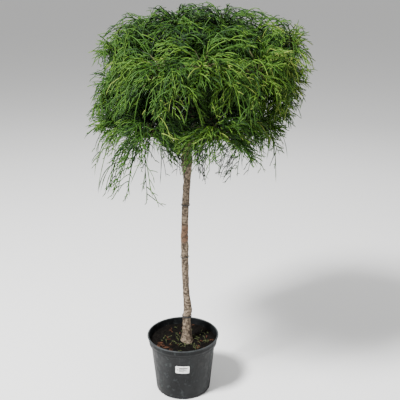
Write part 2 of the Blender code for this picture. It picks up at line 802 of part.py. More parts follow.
def fuse(name, pieces, collection, material):
    """One closed body from pieces that overlap, by one union on a collection."""
    base, *others = pieces
    gathered = make_collection(name + " pieces", hidden=True)
    for piece in others:
        for owner in piece.users_collection:
            owner.objects.unlink(piece)
        gathered.objects.link(piece)
    union = base.modifiers.new("union", "BOOLEAN")
    union.operation = "UNION"
    union.operand_type = "COLLECTION"
    union.collection = gathered
    union.solver = "MANIFOLD"
    baked(base)
    keep_outer_skin(base.data)
    for piece in others:
        bpy.data.objects.remove(piece, do_unlink=True)
    bpy.data.collections.remove(gathered)
    for owner in base.users_collection:
        owner.objects.unlink(base)
    collection.objects.link(base)
    base.name = name
    base.data.materials.clear()
    base.data.materials.append(material)
    return base


def build_foliage(mass, index, bough_path, cells, limbs, collection, workshop, material):
    core = build_core(mass, index, cells, limbs, workshop)
    stem = build_stem(mass, bough_path, workshop)
    threads = []
    for path, radii, azimuth in Foliage(mass, index, cells, limbs).grow():
        rings = thread_rings(path, radii, azimuth)
        threads.append(loft("thread", rings[:-1], workshop, point=path[-1]))
    return fuse("foliage_" + mass.name, [core, stem, *threads], collection, material)


def main():
    clear_scene()
    plant = make_collection("potted_cypress")
    cutters = make_collection("cutters", hidden=True)
    workshop = make_collection("workshop", hidden=True)

    plastic = make_material("pot_plastic", (0.035, 0.038, 0.036), 0.55)
    earth = make_material("potting_soil", (0.030, 0.024, 0.018), 0.95)
    plate = make_material("label_plastic", (0.80, 0.80, 0.78), 0.45)
    bark = make_material("trunk_bark", (0.30, 0.25, 0.20), 0.85)
    rubber = make_material("tie_rubber", (0.02, 0.018, 0.015), 0.60)
    twig_bark = make_material("bough_bark", (0.16, 0.11, 0.06), 0.85)
    leaf = make_material("foliage_green", (0.07, 0.16, 0.03), 0.60)

    build_pot(plant, cutters, plastic)
    build_soil(plant, earth)
    build_label(plant, plate)
    build_trunk(plant, bark)
    for name, height, width in TIES:
        build_tie(name, height, width, plant, rubber)

    paths = []
    for mass in MASSES:
        whole = bough_points(mass)
        paths.append(resampled(outside_trunk(whole, BOUGH_BASE_RADIUS), BOUGH_POINTS))
        build_bough(mass, paths[-1], plant, twig_bark)

    limbs = Limbs(paths)
    cells = Cells(MASSES)
    for index, mass in enumerate(MASSES):
        build_foliage(mass, index, paths[index], cells, limbs, plant, workshop, leaf)
    bpy.data.collections.remove(workshop)


main()
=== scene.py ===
"""Looks of a weeping thread-leaved cypress standard in its nursery pot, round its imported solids.

Lengths are metres and +Z is up. The origin is the middle of the pot's flat underside, and the front
of the plant, with the label, faces -Y. Azimuths are degrees round +Z from +X.
"""

import json
import logging
import math
from dataclasses import dataclass, field
from enum import Enum
from itertools import product

import bpy
import numpy as np
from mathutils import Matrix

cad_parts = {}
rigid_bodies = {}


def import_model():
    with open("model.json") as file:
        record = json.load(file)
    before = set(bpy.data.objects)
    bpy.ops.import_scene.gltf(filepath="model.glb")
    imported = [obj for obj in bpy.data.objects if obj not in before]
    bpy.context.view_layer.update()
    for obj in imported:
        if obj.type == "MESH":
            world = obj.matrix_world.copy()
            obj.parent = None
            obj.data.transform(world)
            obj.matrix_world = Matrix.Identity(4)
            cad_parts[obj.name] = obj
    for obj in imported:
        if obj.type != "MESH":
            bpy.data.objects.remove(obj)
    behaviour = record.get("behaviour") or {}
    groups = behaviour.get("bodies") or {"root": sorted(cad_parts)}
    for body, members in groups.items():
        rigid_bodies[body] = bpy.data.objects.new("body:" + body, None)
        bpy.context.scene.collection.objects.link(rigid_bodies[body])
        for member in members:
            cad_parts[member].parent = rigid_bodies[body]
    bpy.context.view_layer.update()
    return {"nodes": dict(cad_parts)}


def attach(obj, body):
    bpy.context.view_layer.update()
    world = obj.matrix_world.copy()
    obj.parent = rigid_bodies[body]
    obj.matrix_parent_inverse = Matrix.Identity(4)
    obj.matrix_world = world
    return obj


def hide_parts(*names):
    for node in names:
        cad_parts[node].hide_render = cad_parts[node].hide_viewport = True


for startup_object in list(bpy.data.objects):
    bpy.data.objects.remove(startup_object, do_unlink=True)
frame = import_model()

log = logging.getLogger("potted_cypress")

TURN = 2 * math.pi
GOLDEN_ANGLE = math.pi * (3 - math.sqrt(5))
UP = np.array((0.0, 0.0, 1.0))
TINY = 1e-9
NUDGE = 1e-6
MOST_TRIANGLES = 190_000
BODY = "root"
# Large odd factors that spread whole-number corners over random values
HASH_X, HASH_Y, HASH_Z = 73856093, 19349663, 83492791
HASH_SEED, HASH_MIX, HASH_MASK = 2654435761, 1274126177, 0xFFFF
# Lattice steps a metre of the coarse and the fine bumps on a limb
LIMB_NOISE = (300, 900)
CORD_SIDES = 3
CORD_TAPER = 0.45

Colour = tuple[float, float, float]
Pair = tuple[float, float]
Socket = bpy.types.NodeSocket
# A mesh: its vertices, and its faces in blocks of one count of corners each
Skin = tuple[np.ndarray, list[np.ndarray]]


@dataclass(frozen=True)
class Mass:
    """One mass of foliage: where its middle lies, and how its sprays grow."""

    name: str
    azimuth: float
    reach: float
    height: float
    foot: float
    size: float
    spray: float
    lift: float
    droop: float


MASSES: tuple[Mass, ...] = (
    Mass("top_left", -140, 0.052, 1.385, 1.140, 0.054, 0.120, 0.7, 15.0),
    Mass("top_right", -10, 0.108, 1.382, 1.136, 0.054, 0.120, 0.5, 15.0),
    Mass("top_back", 80, 0.132, 1.355, 1.128, 0.054, 0.120, 0.8, 15.0),
    Mass("shoulder_left", 172, 0.150, 1.354, 1.112, 0.054, 0.130, 0.3, 16.0),
    Mass("shoulder_right", 8, 0.225, 1.336, 1.108, 0.054, 0.140, 0.3, 16.0),
    Mass("far_left", 181, 0.260, 1.296, 1.086, 0.052, 0.170, 0.7, 17.0),
    Mass("far_right", -5, 0.345, 1.314, 1.082, 0.050, 0.180, 0.8, 17.0),
    Mass("front_left", -114, 0.222, 1.252, 1.058, 0.056, 0.200, 0.5, 17.0),
    Mass("front_middle", -80, 0.240, 1.270, 1.078, 0.056, 0.200, 0.5, 17.0),
    Mass("front_right", -40, 0.280, 1.252, 1.062, 0.056, 0.200, 0.5, 17.0),
    Mass("back_left", 124, 0.235, 1.256, 1.060, 0.056, 0.200, 0.5, 17.0),
    Mass("back_middle", 85, 0.255, 1.268, 1.080, 0.056, 0.200, 0.5, 17.0),
    Mass("back_right", 44, 0.280, 1.252, 1.064, 0.056, 0.200, 0.5, 17.0),
    Mass("mid_left", 178, 0.252, 1.170, 1.048, 0.050, 0.170, 0.4, 17.0),
    Mass("mid_right", -3, 0.300, 1.180, 1.044, 0.052, 0.180, 0.4, 17.0),
    Mass("low_left", -177, 0.254, 1.056, 1.004, 0.052, 0.210, 0.7, 14.0),
    Mass("low_front_left", -130, 0.205, 1.058, 1.012, 0.054, 0.240, 0.3, 17.0),
    Mass("low_front_right", -66, 0.230, 1.062, 1.000, 0.056, 0.260, 0.3, 17.0),
    Mass("low_right", -8, 0.260, 1.052, 0.998, 0.056, 0.230, 0.6, 16.0),
    Mass("low_back_left", 132, 0.215, 1.070, 1.000, 0.054, 0.230, 0.3, 17.0),
    Mass("low_back_right", 62, 0.237, 1.070, 1.010, 0.056, 0.240, 0.3, 17.0),
)

# Trunk: (height, lean towards +X, radius), from the ground past the graft to the leader's tip
TRUNK_STATIONS: tuple[tuple[float, float, float], ...] = (
    (0.2018, 0.0156, 0.0190),
    (0.245, 0.0158, 0.0176),
    (0.290, 0.0145, 0.0156),
    (0.345, 0.0186, 0.0153),
    (0.400, 0.0147, 0.0128),
    (0.480, 0.0110, 0.0128),
    (0.600, 0.0092, 0.0137),
    (0.704, 0.0107, 0.0126),
    (0.790, 0.0150, 0.0134),
    (0.862, 0.0200, 0.0130),
    (0.900, 0.0197, 0.0174),
    (0.930, 0.0190, 0.0196),
    (0.962, 0.0205, 0.0172),
    (1.050, 0.0300, 0.0158),
    (1.120, 0.0350, 0.0140),
    (1.150, 0.0360, 0.0100),
)
# Root toes: (azimuth, how far the toe stands out at the ground)
TOES: tuple[tuple[float, float], ...] = ((-176, 0.008), (-78, 0.015), (12, 0.007), (95, 0.009))
# Knots: (height, azimuth, how far the knot stands out)
KNOTS: tuple[tuple[float, float, float], ...] = (
    (0.332, -10, 0.0040),
    (0.357, -95, 0.0030),
    (0.515, 0, 0.0020),
    (0.592, -8, 0.0022),
    (0.642, 185, 0.0024),
    (0.832, 178, 0.0026),
    (0.934, -15, 0.0030),
)


class Slot(Enum):
    """The record's material slots."""

    POT = "pot_plastic"
    SOIL = "potting_soil"
    LABEL = "label_plastic"
    TRUNK = "trunk_bark"
    TIE = "tie_rubber"
    BOUGH = "bough_bark"
    LEAF = "foliage_green"


class Tint(Enum):
    """Base colours of the foliage, darkest first: the dark ones are painted shade deep inside the head, and
    the light ones are painted light on its outside and top as well as the young tips' own lighter colour.
    """

    INNER = (0.003, 0.009, 0.003)
    SHADE = (0.010, 0.034, 0.006)
    GREEN = (0.029, 0.080, 0.007)
    FRESH = (0.064, 0.134, 0.012)
    TIP = (0.150, 0.205, 0.034)


def lattice_noise(points: np.ndarray, seed: int) -> np.ndarray:
    """Smooth noise: random values at whole-number corners, blended between them by smoothstep.

    Args:
        points: Places, in lattice steps, with x, y and z on the last axis.
        seed: Picks the random values.

    Returns:
        One value in 0..1 for each place.
    """
    base = np.floor(points).astype(np.int64)
    part = points - base
    part = part * part * (3 - 2 * part)
    total = np.zeros(points.shape[:-1])
    for corner in product((0, 1), repeat=3):
        x, y, z = np.moveaxis(base + np.array(corner), -1, 0)
        mixed = (x * HASH_X) ^ (y * HASH_Y) ^ (z * HASH_Z) ^ (seed * HASH_SEED)
        mixed = (mixed ^ (mixed >> 13)) * HASH_MIX
        value = ((mixed ^ (mixed >> 16)) & HASH_MASK) / HASH_MASK
        total += value * np.prod(np.where(corner, part, 1 - part), axis=-1)
    return total


def signed_volume(points: np.ndarray, faces: np.ndarray) -> float:
    """Volume inside the faces by the sum of their fans' tetrahedra, negative if they point inwards.

    Args:
        points: Vertices, one row each.
        faces: Numbers of the corners, one row a face.

    Returns:
        The volume in cubic metres.
    """
    corners = points[faces]
    first = corners[:, 0]
    total = 0.0
    for i in range(1, faces.shape[1] - 1):
        total += float(np.einsum("ij,ij->i", first, np.cross(corners[:, i], corners[:, i + 1])).sum())
    return total / 6


def make_mesh(
    name: str, points: np.ndarray, blocks: list[np.ndarray], smooth: bool = True
) -> bpy.types.Object:
    """Puts points and faces into a new object in the scene.

    Args:
        name: The object's name.
        points: Vertices, one row each.
        blocks: Arrays of faces, each with one count of corners.
        smooth: Whether the faces are shaded smooth.

    Returns:
        The new object.
    """
    mesh = bpy.data.meshes.new(name)
    sizes = np.concatenate([np.full(len(block), block.shape[1]) for block in blocks])
    corners = np.concatenate([block.ravel() for block in blocks])
    mesh.vertices.add(len(points))
    mesh.vertices.foreach_set("co", np.asarray(points, np.float32).ravel())
    mesh.loops.add(len(corners))
    mesh.loops.foreach_set("vertex_index", corners.astype(np.int32))
    mesh.polygons.add(len(sizes))
    mesh.polygons.foreach_set("loop_start", (np.cumsum(sizes) - sizes).astype(np.int32))
    mesh.polygons.foreach_set("use_smooth", np.full(len(sizes), smooth))
    mesh.update(calc_edges=True)
    mesh.validate()
    piece = bpy.data.objects.new(name, mesh)
    bpy.context.scene.collection.objects.link(piece)
    return piece


def finish_piece(
    piece: bpy.types.Object, material: bpy.types.Material, nodes: tuple[str, ...] = ()
) -> bpy.types.Object:
    """Gives a piece its material and body, and hides the nodes that it stands for.

    Args:
        piece: The new object.
        material: Its finish.
        nodes: The solids' nodes that the piece replaces.

    Returns:
        The same object.
    """
    piece.data.materials.clear()
    piece.data.materials.append(material)
    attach(piece, BODY)
    if nodes:
        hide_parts(*nodes)
    triangles = int(sum(len(face.vertices) - 2 for face in piece.data.polygons))
    log.info("%s: %d triangles", piece.name, triangles)
    return piece


def skin(rows: int, columns: int) -> np.ndarray:
    """Quads of a grid of points that is closed round its columns.

    Args:
        rows: Rings of the grid.
        columns: Points in each ring.

    Returns:
        Numbers of the corners, four a face.
    """
    low = np.arange(rows - 1)[:, None] * columns
    here = np.arange(columns)
    after = (here + 1) % columns
    quads = np.stack([low + here, low + after, low + columns + after, low + columns + here], axis=-1)
    return quads.reshape(-1, 4)


def closed_tube(points: np.ndarray) -> Skin:
    """Skin over rings of points, closed by a fan at each end.

    Args:
        points: Rings, shaped (rings, sides, 3).

    Returns:
        The vertices and the blocks of faces, which point outwards.
    """
    rows, columns = points.shape[:2]
    ends = np.stack([points[0].mean(axis=0), points[-1].mean(axis=0)])
    vertices = np.concatenate([points.reshape(-1, 3), ends])
    here, after = np.arange(columns), (np.arange(columns) + 1) % columns
    foot, tip = rows * columns, rows * columns + 1
    last = (rows - 1) * columns
    quads = skin(rows, columns)
    fans = np.concatenate(
        [
            np.stack([np.full(columns, foot), after, here], axis=-1),
            np.stack([np.full(columns, tip), last + here, last + after], axis=-1),
        ]
    )
    volume = signed_volume(vertices, quads) + signed_volume(vertices, fans)
    if volume < 0:
        quads, fans = quads[:, ::-1], fans[:, ::-1]
    return vertices, [quads, fans]


def merged(parts: list[Skin]) -> Skin:
    """Several meshes' vertices and blocks of faces as one mesh's.

    Args:
        parts: The meshes, in order.

    Returns:
        One mesh.
    """
    points, blocks, start = [], [], 0
    for vertices, faces in parts:
        points.append(vertices)
        blocks.extend(block + start for block in faces)
        start += len(vertices)
    return np.concatenate(points), blocks


def swept(path: np.ndarray, radii: np.ndarray, sides: int, seed: int, rough: float) -> np.ndarray:
    """Rings square to a path: place + radius * (1 + rough * noise) * (cos * side + sin * over).

    Args:
        path: Points along the middle line.
        radii: Radius at each point.
        sides: Corners of each ring.
        seed: Picks the noise.
        rough: Share of the radius by which the noise moves the surface.

    Returns:
        Rings, shaped (points, sides, 3).
    """
    along = np.gradient(path, axis=0)
    along /= np.linalg.norm(along, axis=1)[:, None]
    side = np.cross(along, UP + NUDGE)
    side /= np.linalg.norm(side, axis=1)[:, None]
    over = np.cross(side, along)
    angles = TURN * np.arange(sides) / sides
    around = np.cos(angles)[None, :, None] * side[:, None] + np.sin(angles)[None, :, None] * over[:, None]
    places = path[:, None] + radii[:, None, None] * around
    coarse, fine = (lattice_noise(places * scale, seed + i) for i, scale in enumerate(LIMB_NOISE))
    return path[:, None] + (radii[:, None] * (1 + rough * (coarse + fine - 1)))[..., None] * around


@dataclass
class Cords:
    """Thread-like cords of one order of branching, a row each."""

    paths: np.ndarray
    radius: np.ndarray
    spray: np.ndarray

    @classmethod
    def even(cls, paths: np.ndarray, radius: float) -> "Cords":
        """Cords of one radius that belong to no spray of their own."""
        return cls(paths, np.full(len(paths), radius), np.zeros(len(paths), int))

    def __len__(self) -> int:
        """The number of cords."""
        return len(self.paths)

    def kept(self, chosen: np.ndarray) -> "Cords":
        """The chosen cords only."""
        return Cords(self.paths[chosen], self.radius[chosen], self.spray[chosen])


def cord_skin(cords: Cords, tooth: float) -> Skin:
    """Three-sided sections along every cord, in and out like its scale leaves, drawn to a point.

    Each ring is place + radius * (cos * side + sin * over), where the radius is the cord's, times
    1 - taper * share**2, times 1 + tooth or 1 - tooth in turn.

    Args:
        cords: The cords.
        tooth: Share of the radius by which the scale leaves stand in and out.

    Returns:
        One mesh of all the cords, closed and facing outwards.
    """
    paths = cords.paths
    count, rings = paths.shape[0], paths.shape[1] - 1
    along = np.gradient(paths, axis=1)
    along /= np.maximum(np.linalg.norm(along, axis=2), TINY)[..., None]
    chord = paths[:, -1] - paths[:, 0]
    side = np.column_stack([-chord[:, 1], chord[:, 0], NUDGE + 0 * chord[:, 0]])
    side /= np.linalg.norm(side, axis=1)[:, None]
    side = side[:, None] - (side[:, None] * along).sum(axis=2)[..., None] * along
    side /= np.maximum(np.linalg.norm(side, axis=2), TINY)[..., None]
    over = np.cross(along, side)
    share = np.linspace(0, 1, rings + 1)
    teeth = np.where(np.arange(rings + 1) % 2, 1 + tooth, 1 - tooth)
    radii = cords.radius[:, None] * (1.0 - CORD_TAPER * share**2) * teeth
    angles = TURN * np.arange(CORD_SIDES) / CORD_SIDES + math.pi / 2
    around = np.cos(angles)[:, None] * side[:, :, None] + np.sin(angles)[:, None] * over[:, :, None]
    body = paths[:, :-1, None] + radii[:, :-1, None, None] * around[:, :-1]
    points = np.concatenate([body.reshape(count, -1, 3), paths[:, -1:]], axis=1)
    here, after = np.arange(CORD_SIDES), (np.arange(CORD_SIDES) + 1) % CORD_SIDES
    quads = skin(rings, CORD_SIDES)
    last = CORD_SIDES * (rings - 1)
    fan = np.stack([np.full(CORD_SIDES, last + CORD_SIDES), last + here, last + after], axis=-1)
    triangles = np.concatenate([[[0, 2, 1]], fan])
    first = (CORD_SIDES * rings + 1) * np.arange(count)[:, None, None]
    quads, triangles = (quads + first).reshape(-1, 4), (triangles + first).reshape(-1, 3)
    flat = points.reshape(-1, 3)
    if signed_volume(flat, quads) + signed_volume(flat, triangles) < 0:
        quads, triangles = quads[:, ::-1], triangles[:, ::-1]
    return flat, [quads, triangles]


@dataclass(frozen=True)
class Grain:
    """A noise pattern: waves a metre, factors on them along X, Y and Z, and octaves of detail."""

    scale: float
    stretch: tuple[float, float, float] = (1, 1, 1)
    detail: float = 6.0


class Bench:
    """A Principled material, and short calls for the nodes that finishes add to it."""

    noise_roughness: float = 0.62

    def __init__(self, name: str) -> None:
        """Starts a material whose nodes read the object's own coordinates.

        Args:
            name: The material's name.
        """
        self.material = bpy.data.materials.new(name)
        self.material.use_nodes = True
        self.nodes = self.material.node_tree.nodes
        self.links = self.material.node_tree.links
        self.surface = self.nodes["Principled BSDF"]
        self.place = self.nodes.new("ShaderNodeTexCoord").outputs["Object"]

    def set(self, **values: float | tuple) -> None:
        """Sets constants on the shader: underscores in a name stand for spaces."""
        for name, value in values.items():
            self.surface.inputs[name.replace("_", " ")].default_value = value

    def noise(self, grain: Grain) -> Socket:
        """Noise over the object's coordinates.

        Args:
            grain: Its pattern.

        Returns:
            The socket of its value, about 0.5 in the mean.
        """
        mapping = self.nodes.new("ShaderNodeMapping")
        mapping.inputs["Scale"].default_value = grain.stretch
        self.links.new(self.place, mapping.inputs["Vector"])
        texture = self.nodes.new("ShaderNodeTexNoise")
        texture.inputs["Scale"].default_value = grain.scale
        texture.inputs["Detail"].default_value = grain.detail
        texture.inputs["Roughness"].default_value = self.noise_roughness
        self.links.new(mapping.outputs["Vector"], texture.inputs["Vector"])
        return texture.outputs["Fac"]

    def axis(self, name: str) -> Socket:
        """One of the object's coordinates in metres.

        Args:
            name: X, Y or Z.

        Returns:
            The socket of its value.
        """
        parts = self.nodes.new("ShaderNodeSeparateXYZ")
        self.links.new(self.place, parts.inputs["Vector"])
        return parts.outputs[name]

    def spread(
        self, value: Socket, low: float, high: float, to_low: float = 0.0, to_high: float = 1.0
    ) -> Socket:
        """A value carried by smoothstep from one range to another, and held at its ends.

        Args:
            value: The socket of the value.
            low: Start of the range that it comes from.
            high: End of that range.
            to_low: What the start becomes.
            to_high: What the end becomes.

        Returns:
            The socket of the new value.
        """
        node = self.nodes.new("ShaderNodeMapRange")
        node.interpolation_type = "SMOOTHSTEP"
        for name, number in zip(
            ("From Min", "From Max", "To Min", "To Max"), (low, high, to_low, to_high)
        ):
            node.inputs[name].default_value = number
        self.links.new(value, node.inputs["Value"])
        return node.outputs["Result"]

    def times(self, first: Socket | float, second: Socket | float) -> Socket:
        """The product of two values.

        Args:
            first: A socket or a number.
            second: A socket or a number.

        Returns:
            The socket of the product.
        """
        node = self.nodes.new("ShaderNodeMath")
        node.operation = "MULTIPLY"
        for socket, value in zip(node.inputs, (first, second)):
            if isinstance(value, float):
                socket.default_value = value
            else:
                self.links.new(value, socket)
        return node.outputs["Value"]

    def mix(self, share: Socket, first: Socket | Colour, second: Socket | Colour) -> Socket:
        """A colour between two.

        Args:
            share: The socket of the second colour's share.
            first: A socket or three numbers.
            second: A socket or three numbers.

        Returns:
            The socket of the mixed colour.
        """
        node = self.nodes.new("ShaderNodeMix")
        node.data_type = "RGBA"
        colours = [socket for socket in node.inputs if socket.type == "RGBA"]
        self.links.new(share, node.inputs["Factor"])
        for socket, value in zip(colours, (first, second)):
            if isinstance(value, tuple):
                socket.default_value = (*value, 1.0)
            else:
                self.links.new(value, socket)
        return [socket for socket in node.outputs if socket.type == "RGBA"][0]

    def colour(self, socket: Socket) -> None:
        """Sends a colour to the surface."""
        self.links.new(socket, self.surface.inputs["Base Color"])

    def roughness(self, socket: Socket) -> None:
        """Sends a value to the surface's roughness."""
        self.links.new(socket, self.surface.inputs["Roughness"])

    def bump(self, height: Socket, distance: float, strength: float) -> None:
        """Bumps the surface by a value.

        Args:
            height: The socket of the value.
            distance: Metres that its whole range stands for.
            strength: Share of the bump that is kept.
        """
        node = self.nodes.new("ShaderNodeBump")
        node.inputs["Distance"].default_value = distance
        node.inputs["Strength"].default_value = strength
        self.links.new(height, node.inputs["Height"])
        self.links.new(node.outputs["Normal"], self.surface.inputs["Normal"])


@dataclass(frozen=True)
class Bark:
    """Bark with fine fibres along the stem and dark marks across it."""

    name: str
    pale: Colour
    deep: Colour
    mark: Colour
    green: Colour
    patch: Colour = (0.16, 0.075, 0.040)
    fibres: Grain = Grain(150, (1, 1, 0.12))
    fibre_range: Pair = (0.45, 0.62)
    fibre_share: float = 0.5
    blotches: Grain = Grain(95, (1, 1, 1.2))
    blotch_range: Pair = (0.40, 0.58)
    marks: Grain = Grain(60, (0.8, 0.8, 2.2), 4.0)
    mark_range: Pair = (0.54, 0.66)
    mark_share: float = 0.85
    # The red patch: heights where it fades in and out, and its noise and shares between them
    patch_rise: Pair = (0.610, 0.630)
    patch_fall: Pair = (0.670, 0.700)
    patch_range: Pair = (0.40, 0.56)
    patch_shares: Pair = (0.10, 0.75)
    green_rise: Pair = (0.90, 0.95)
    green_share: float = 0.8
    sheen: float = 0.2
    rough_range: Pair = (0.3, 0.7)
    rough: Pair = (0.95, 0.72)
    pits: Grain = Grain(500, (0.6, 0.6, 1.6), 4.0)
    pit_depth: float = 0.0009
    pit_strength: float = 0.9

    def material(self) -> bpy.types.Material:
        """The bark: blotches, fibres along it, marks across it, a red patch, and green near the head.

        Returns:
            The material.
        """
        bench = Bench(self.name)
        height = bench.axis("Z")
        fibre, blotch, cross, fine = (
            bench.noise(grain) for grain in (self.fibres, self.blotches, self.marks, self.pits)
        )
        colour = bench.mix(bench.spread(blotch, *self.blotch_range), self.deep, self.pale)
        fibres = bench.times(bench.spread(fibre, *self.fibre_range), self.fibre_share)
        colour = bench.mix(fibres, colour, self.deep)
        marks = bench.times(bench.spread(cross, *self.mark_range), self.mark_share)
        colour = bench.mix(marks, colour, self.mark)
        patch = bench.times(
            bench.spread(height, *self.patch_rise), bench.spread(height, *self.patch_fall, 1.0, 0.0)
        )
        patch = bench.times(patch, bench.spread(blotch, *self.patch_range, *self.patch_shares))
        colour = bench.mix(patch, colour, self.patch)
        above = bench.spread(height, *self.green_rise, 0.0, self.green_share)
        bench.colour(bench.mix(above, colour, self.green))
        bench.roughness(bench.spread(fibre, *self.rough_range, *self.rough))
        bench.set(Specular_IOR_Level=self.sheen)
        bench.bump(fine, self.pit_depth, self.pit_strength)
        return bench.material


@dataclass(frozen=True)
class PotPlastic:
    """Dark moulded plastic, scuffed, with pale dust on its left and a worn lip."""

    name: str = "pot_plastic"
    dark: Colour = (0.0022, 0.0026, 0.0030)
    grey: Colour = (0.0070, 0.0080, 0.0088)
    dust: Colour = (0.050, 0.058, 0.058)
    worn: Colour = (0.045, 0.050, 0.052)
    clouds: Grain = Grain(16, (1, 1, 0.6))
    cloud_range: Pair = (0.35, 0.65)
    scuffs: Grain = Grain(60, (1, 1, 0.7), 9.0)
    dust_range: Pair = (0.52, 0.68)
    # From left to right along X, the most dust falls from the first share to the second
    dust_places: Pair = (-0.13, 0.10)
    dust_shares: Pair = (0.60, 0.25)
    specks: Grain = Grain(420, detail=3.0)
    speck_range: Pair = (0.62, 0.72)
    speck_share: float = 0.35
    speck_depth: float = 0.00022
    speck_strength: float = 0.7
    scratches: Grain = Grain(30, (6.0, 6.0, 0.5), 2.0)
    scratch_range: Pair = (0.66, 0.72)
    scratch_share: float = 0.28
    lip_rise: Pair = (0.2262, 0.2292)
    lip_range: Pair = (0.3, 0.6)
    lip_wear: Pair = (0.35, 0.95)
    sheen: float = 0.18
    rough_range: Pair = (0.35, 0.65)
    rough: Pair = (0.42, 0.62)

    def material(self) -> bpy.types.Material:
        """The plastic: clouds, dust that thins to the right, specks, scratches and a worn lip.

        Returns:
            The material.
        """
        bench = Bench(self.name)
        cloud, scuff, speck, scratch = (
            bench.noise(grain) for grain in (self.clouds, self.scuffs, self.specks, self.scratches)
        )
        colour = bench.mix(bench.spread(cloud, *self.cloud_range), self.dark, self.grey)
        left = bench.spread(bench.axis("X"), *self.dust_places, *self.dust_shares)
        colour = bench.mix(bench.times(bench.spread(scuff, *self.dust_range), left), colour, self.dust)
        specks = bench.times(bench.spread(speck, *self.speck_range), self.speck_share)
        colour = bench.mix(specks, colour, self.worn)
        scratches = bench.times(bench.spread(scratch, *self.scratch_range), self.scratch_share)
        colour = bench.mix(scratches, colour, self.worn)
        edge = bench.times(
            bench.spread(bench.axis("Z"), *self.lip_rise),
            bench.spread(scuff, *self.lip_range, *self.lip_wear),
        )
        bench.colour(bench.mix(edge, colour, self.worn))
        bench.roughness(bench.spread(scuff, *self.rough_range, *self.rough))
        bench.set(Specular_IOR_Level=self.sheen)
        bench.bump(speck, self.speck_depth, self.speck_strength)
        return bench.material


@dataclass(frozen=True)
class Earth:
    """Moist crumbly potting mix, or the chips and crumbs that lie on it."""

    name: str
    damp: Colour
    dry: Colour
    scale: float = 120.0
    crumb_range: Pair = (0.40, 0.66)
    crumb_detail: float = 9.0
    patch_width: float = 6
    patch_range: Pair = (0.45, 0.60)
    patch_detail: float = 4.0
    patch_share: float = 0.6
    rough_range: Pair = (0.3, 0.7)
    rough: Pair = (1.0, 0.8)
    grain_fineness: float = 3
    grain_detail: float = 5.0
    sheen: float = 0.1
    grain_depth: float = 0.0012
    grain_strength: float = 0.8

    def material(self) -> bpy.types.Material:
        """The mix: dry crumbs, damp patches six times as wide, and grains a third as wide.

        Returns:
            The material.
        """
        bench = Bench(self.name)
        crumb = bench.noise(Grain(self.scale, detail=self.crumb_detail))
        patch = bench.noise(Grain(self.scale / self.patch_width, detail=self.patch_detail))
        grain = bench.noise(Grain(self.scale * self.grain_fineness, detail=self.grain_detail))
        colour = bench.mix(bench.spread(crumb, *self.crumb_range), self.damp, self.dry)
        patches = bench.times(bench.spread(patch, *self.patch_range), self.patch_share)
        bench.colour(bench.mix(patches, colour, self.damp))
        bench.roughness(bench.spread(crumb, *self.rough_range, *self.rough))
        bench.set(Specular_IOR_Level=self.sheen)
        bench.bump(grain, self.grain_depth, self.grain_strength)
        return bench.material


@dataclass(frozen=True)
class Plain:
    """A smooth material that a faint mottling breaks up: label, print and rubber."""

    name: str
    base: Colour
    soiled: Colour
    rough: Pair
    rough_range: Pair = (0.3, 0.7)
    stains: Grain = Grain(90, detail=7.0)
    stain_range: Pair = (0.42, 0.72)
    grain: Grain = Grain(700, detail=3.0)
    grain_depth: float = 0.0001
    grain_strength: float = 0.5

    def material(self) -> bpy.types.Material:
        """The mottled surface: stains over its base, and a fine grain.

        Returns:
            The material.
        """
        bench = Bench(self.name)
        stain = bench.noise(self.stains)
        bench.colour(bench.mix(bench.spread(stain, *self.stain_range), self.base, self.soiled))
        bench.roughness(bench.spread(stain, *self.rough_range, *self.rough))
        bench.bump(bench.noise(self.grain), self.grain_depth, self.grain_strength)
        return bench.material


@dataclass(frozen=True)
class Leaf:
    """Scale leaves pressed to a cord: one plain base colour for a whole piece."""

    name: str
    tint: Colour
    rough: float = 0.55
    sheen: float = 0.22

    def material(self) -> bpy.types.Material:
        """The leaves' plain surface.

        Returns:
            The material.
        """
        bench = Bench(self.name)
        bench.set(Base_Color=(*self.tint, 1.0), Roughness=self.rough, Specular_IOR_Level=self.sheen)
        return bench.material


STEM_BARK = Bark(
    "trunk_bark",
    pale=(0.27, 0.21, 0.15),
    deep=(0.060, 0.043, 0.030),
    mark=(0.010, 0.007, 0.005),
    green=(0.055, 0.062, 0.020),
)
LIMB_BARK = Bark(
    "bough_bark",
    pale=(0.16, 0.11, 0.065),
    deep=(0.075, 0.048, 0.028),
    mark=(0.030, 0.020, 0.013),
    green=(0.060, 0.060, 0.025),
)
POTTING_MIX = Earth("potting_soil", damp=(0.0010, 0.0008, 0.0006), dry=(0.0065, 0.0048, 0.0035))
LOOSE_CRUMBS = Earth("soil_crumbs", damp=(0.0015, 0.0011, 0.0008), dry=(0.011, 0.008, 0.0055), scale=300.0)
BARK_CHIPS = Earth("bark_chips", damp=(0.040, 0.016, 0.009), dry=(0.120, 0.055, 0.030), scale=200.0)
SEEDLING_GREEN = Leaf("seedling_green", (0.10, 0.12, 0.045))
PLATE_WHITE = Plain("label_plastic", (0.82, 0.82, 0.80), (0.55, 0.55, 0.52), (0.40, 0.60))
BAR_BLACK = Plain("label_print", (0.012, 0.012, 0.012), (0.035, 0.035, 0.035), (0.60, 0.80))
BAND_RUBBER = Plain("tie_rubber", (0.012, 0.011, 0.010), (0.040, 0.036, 0.032), (0.55, 0.75))


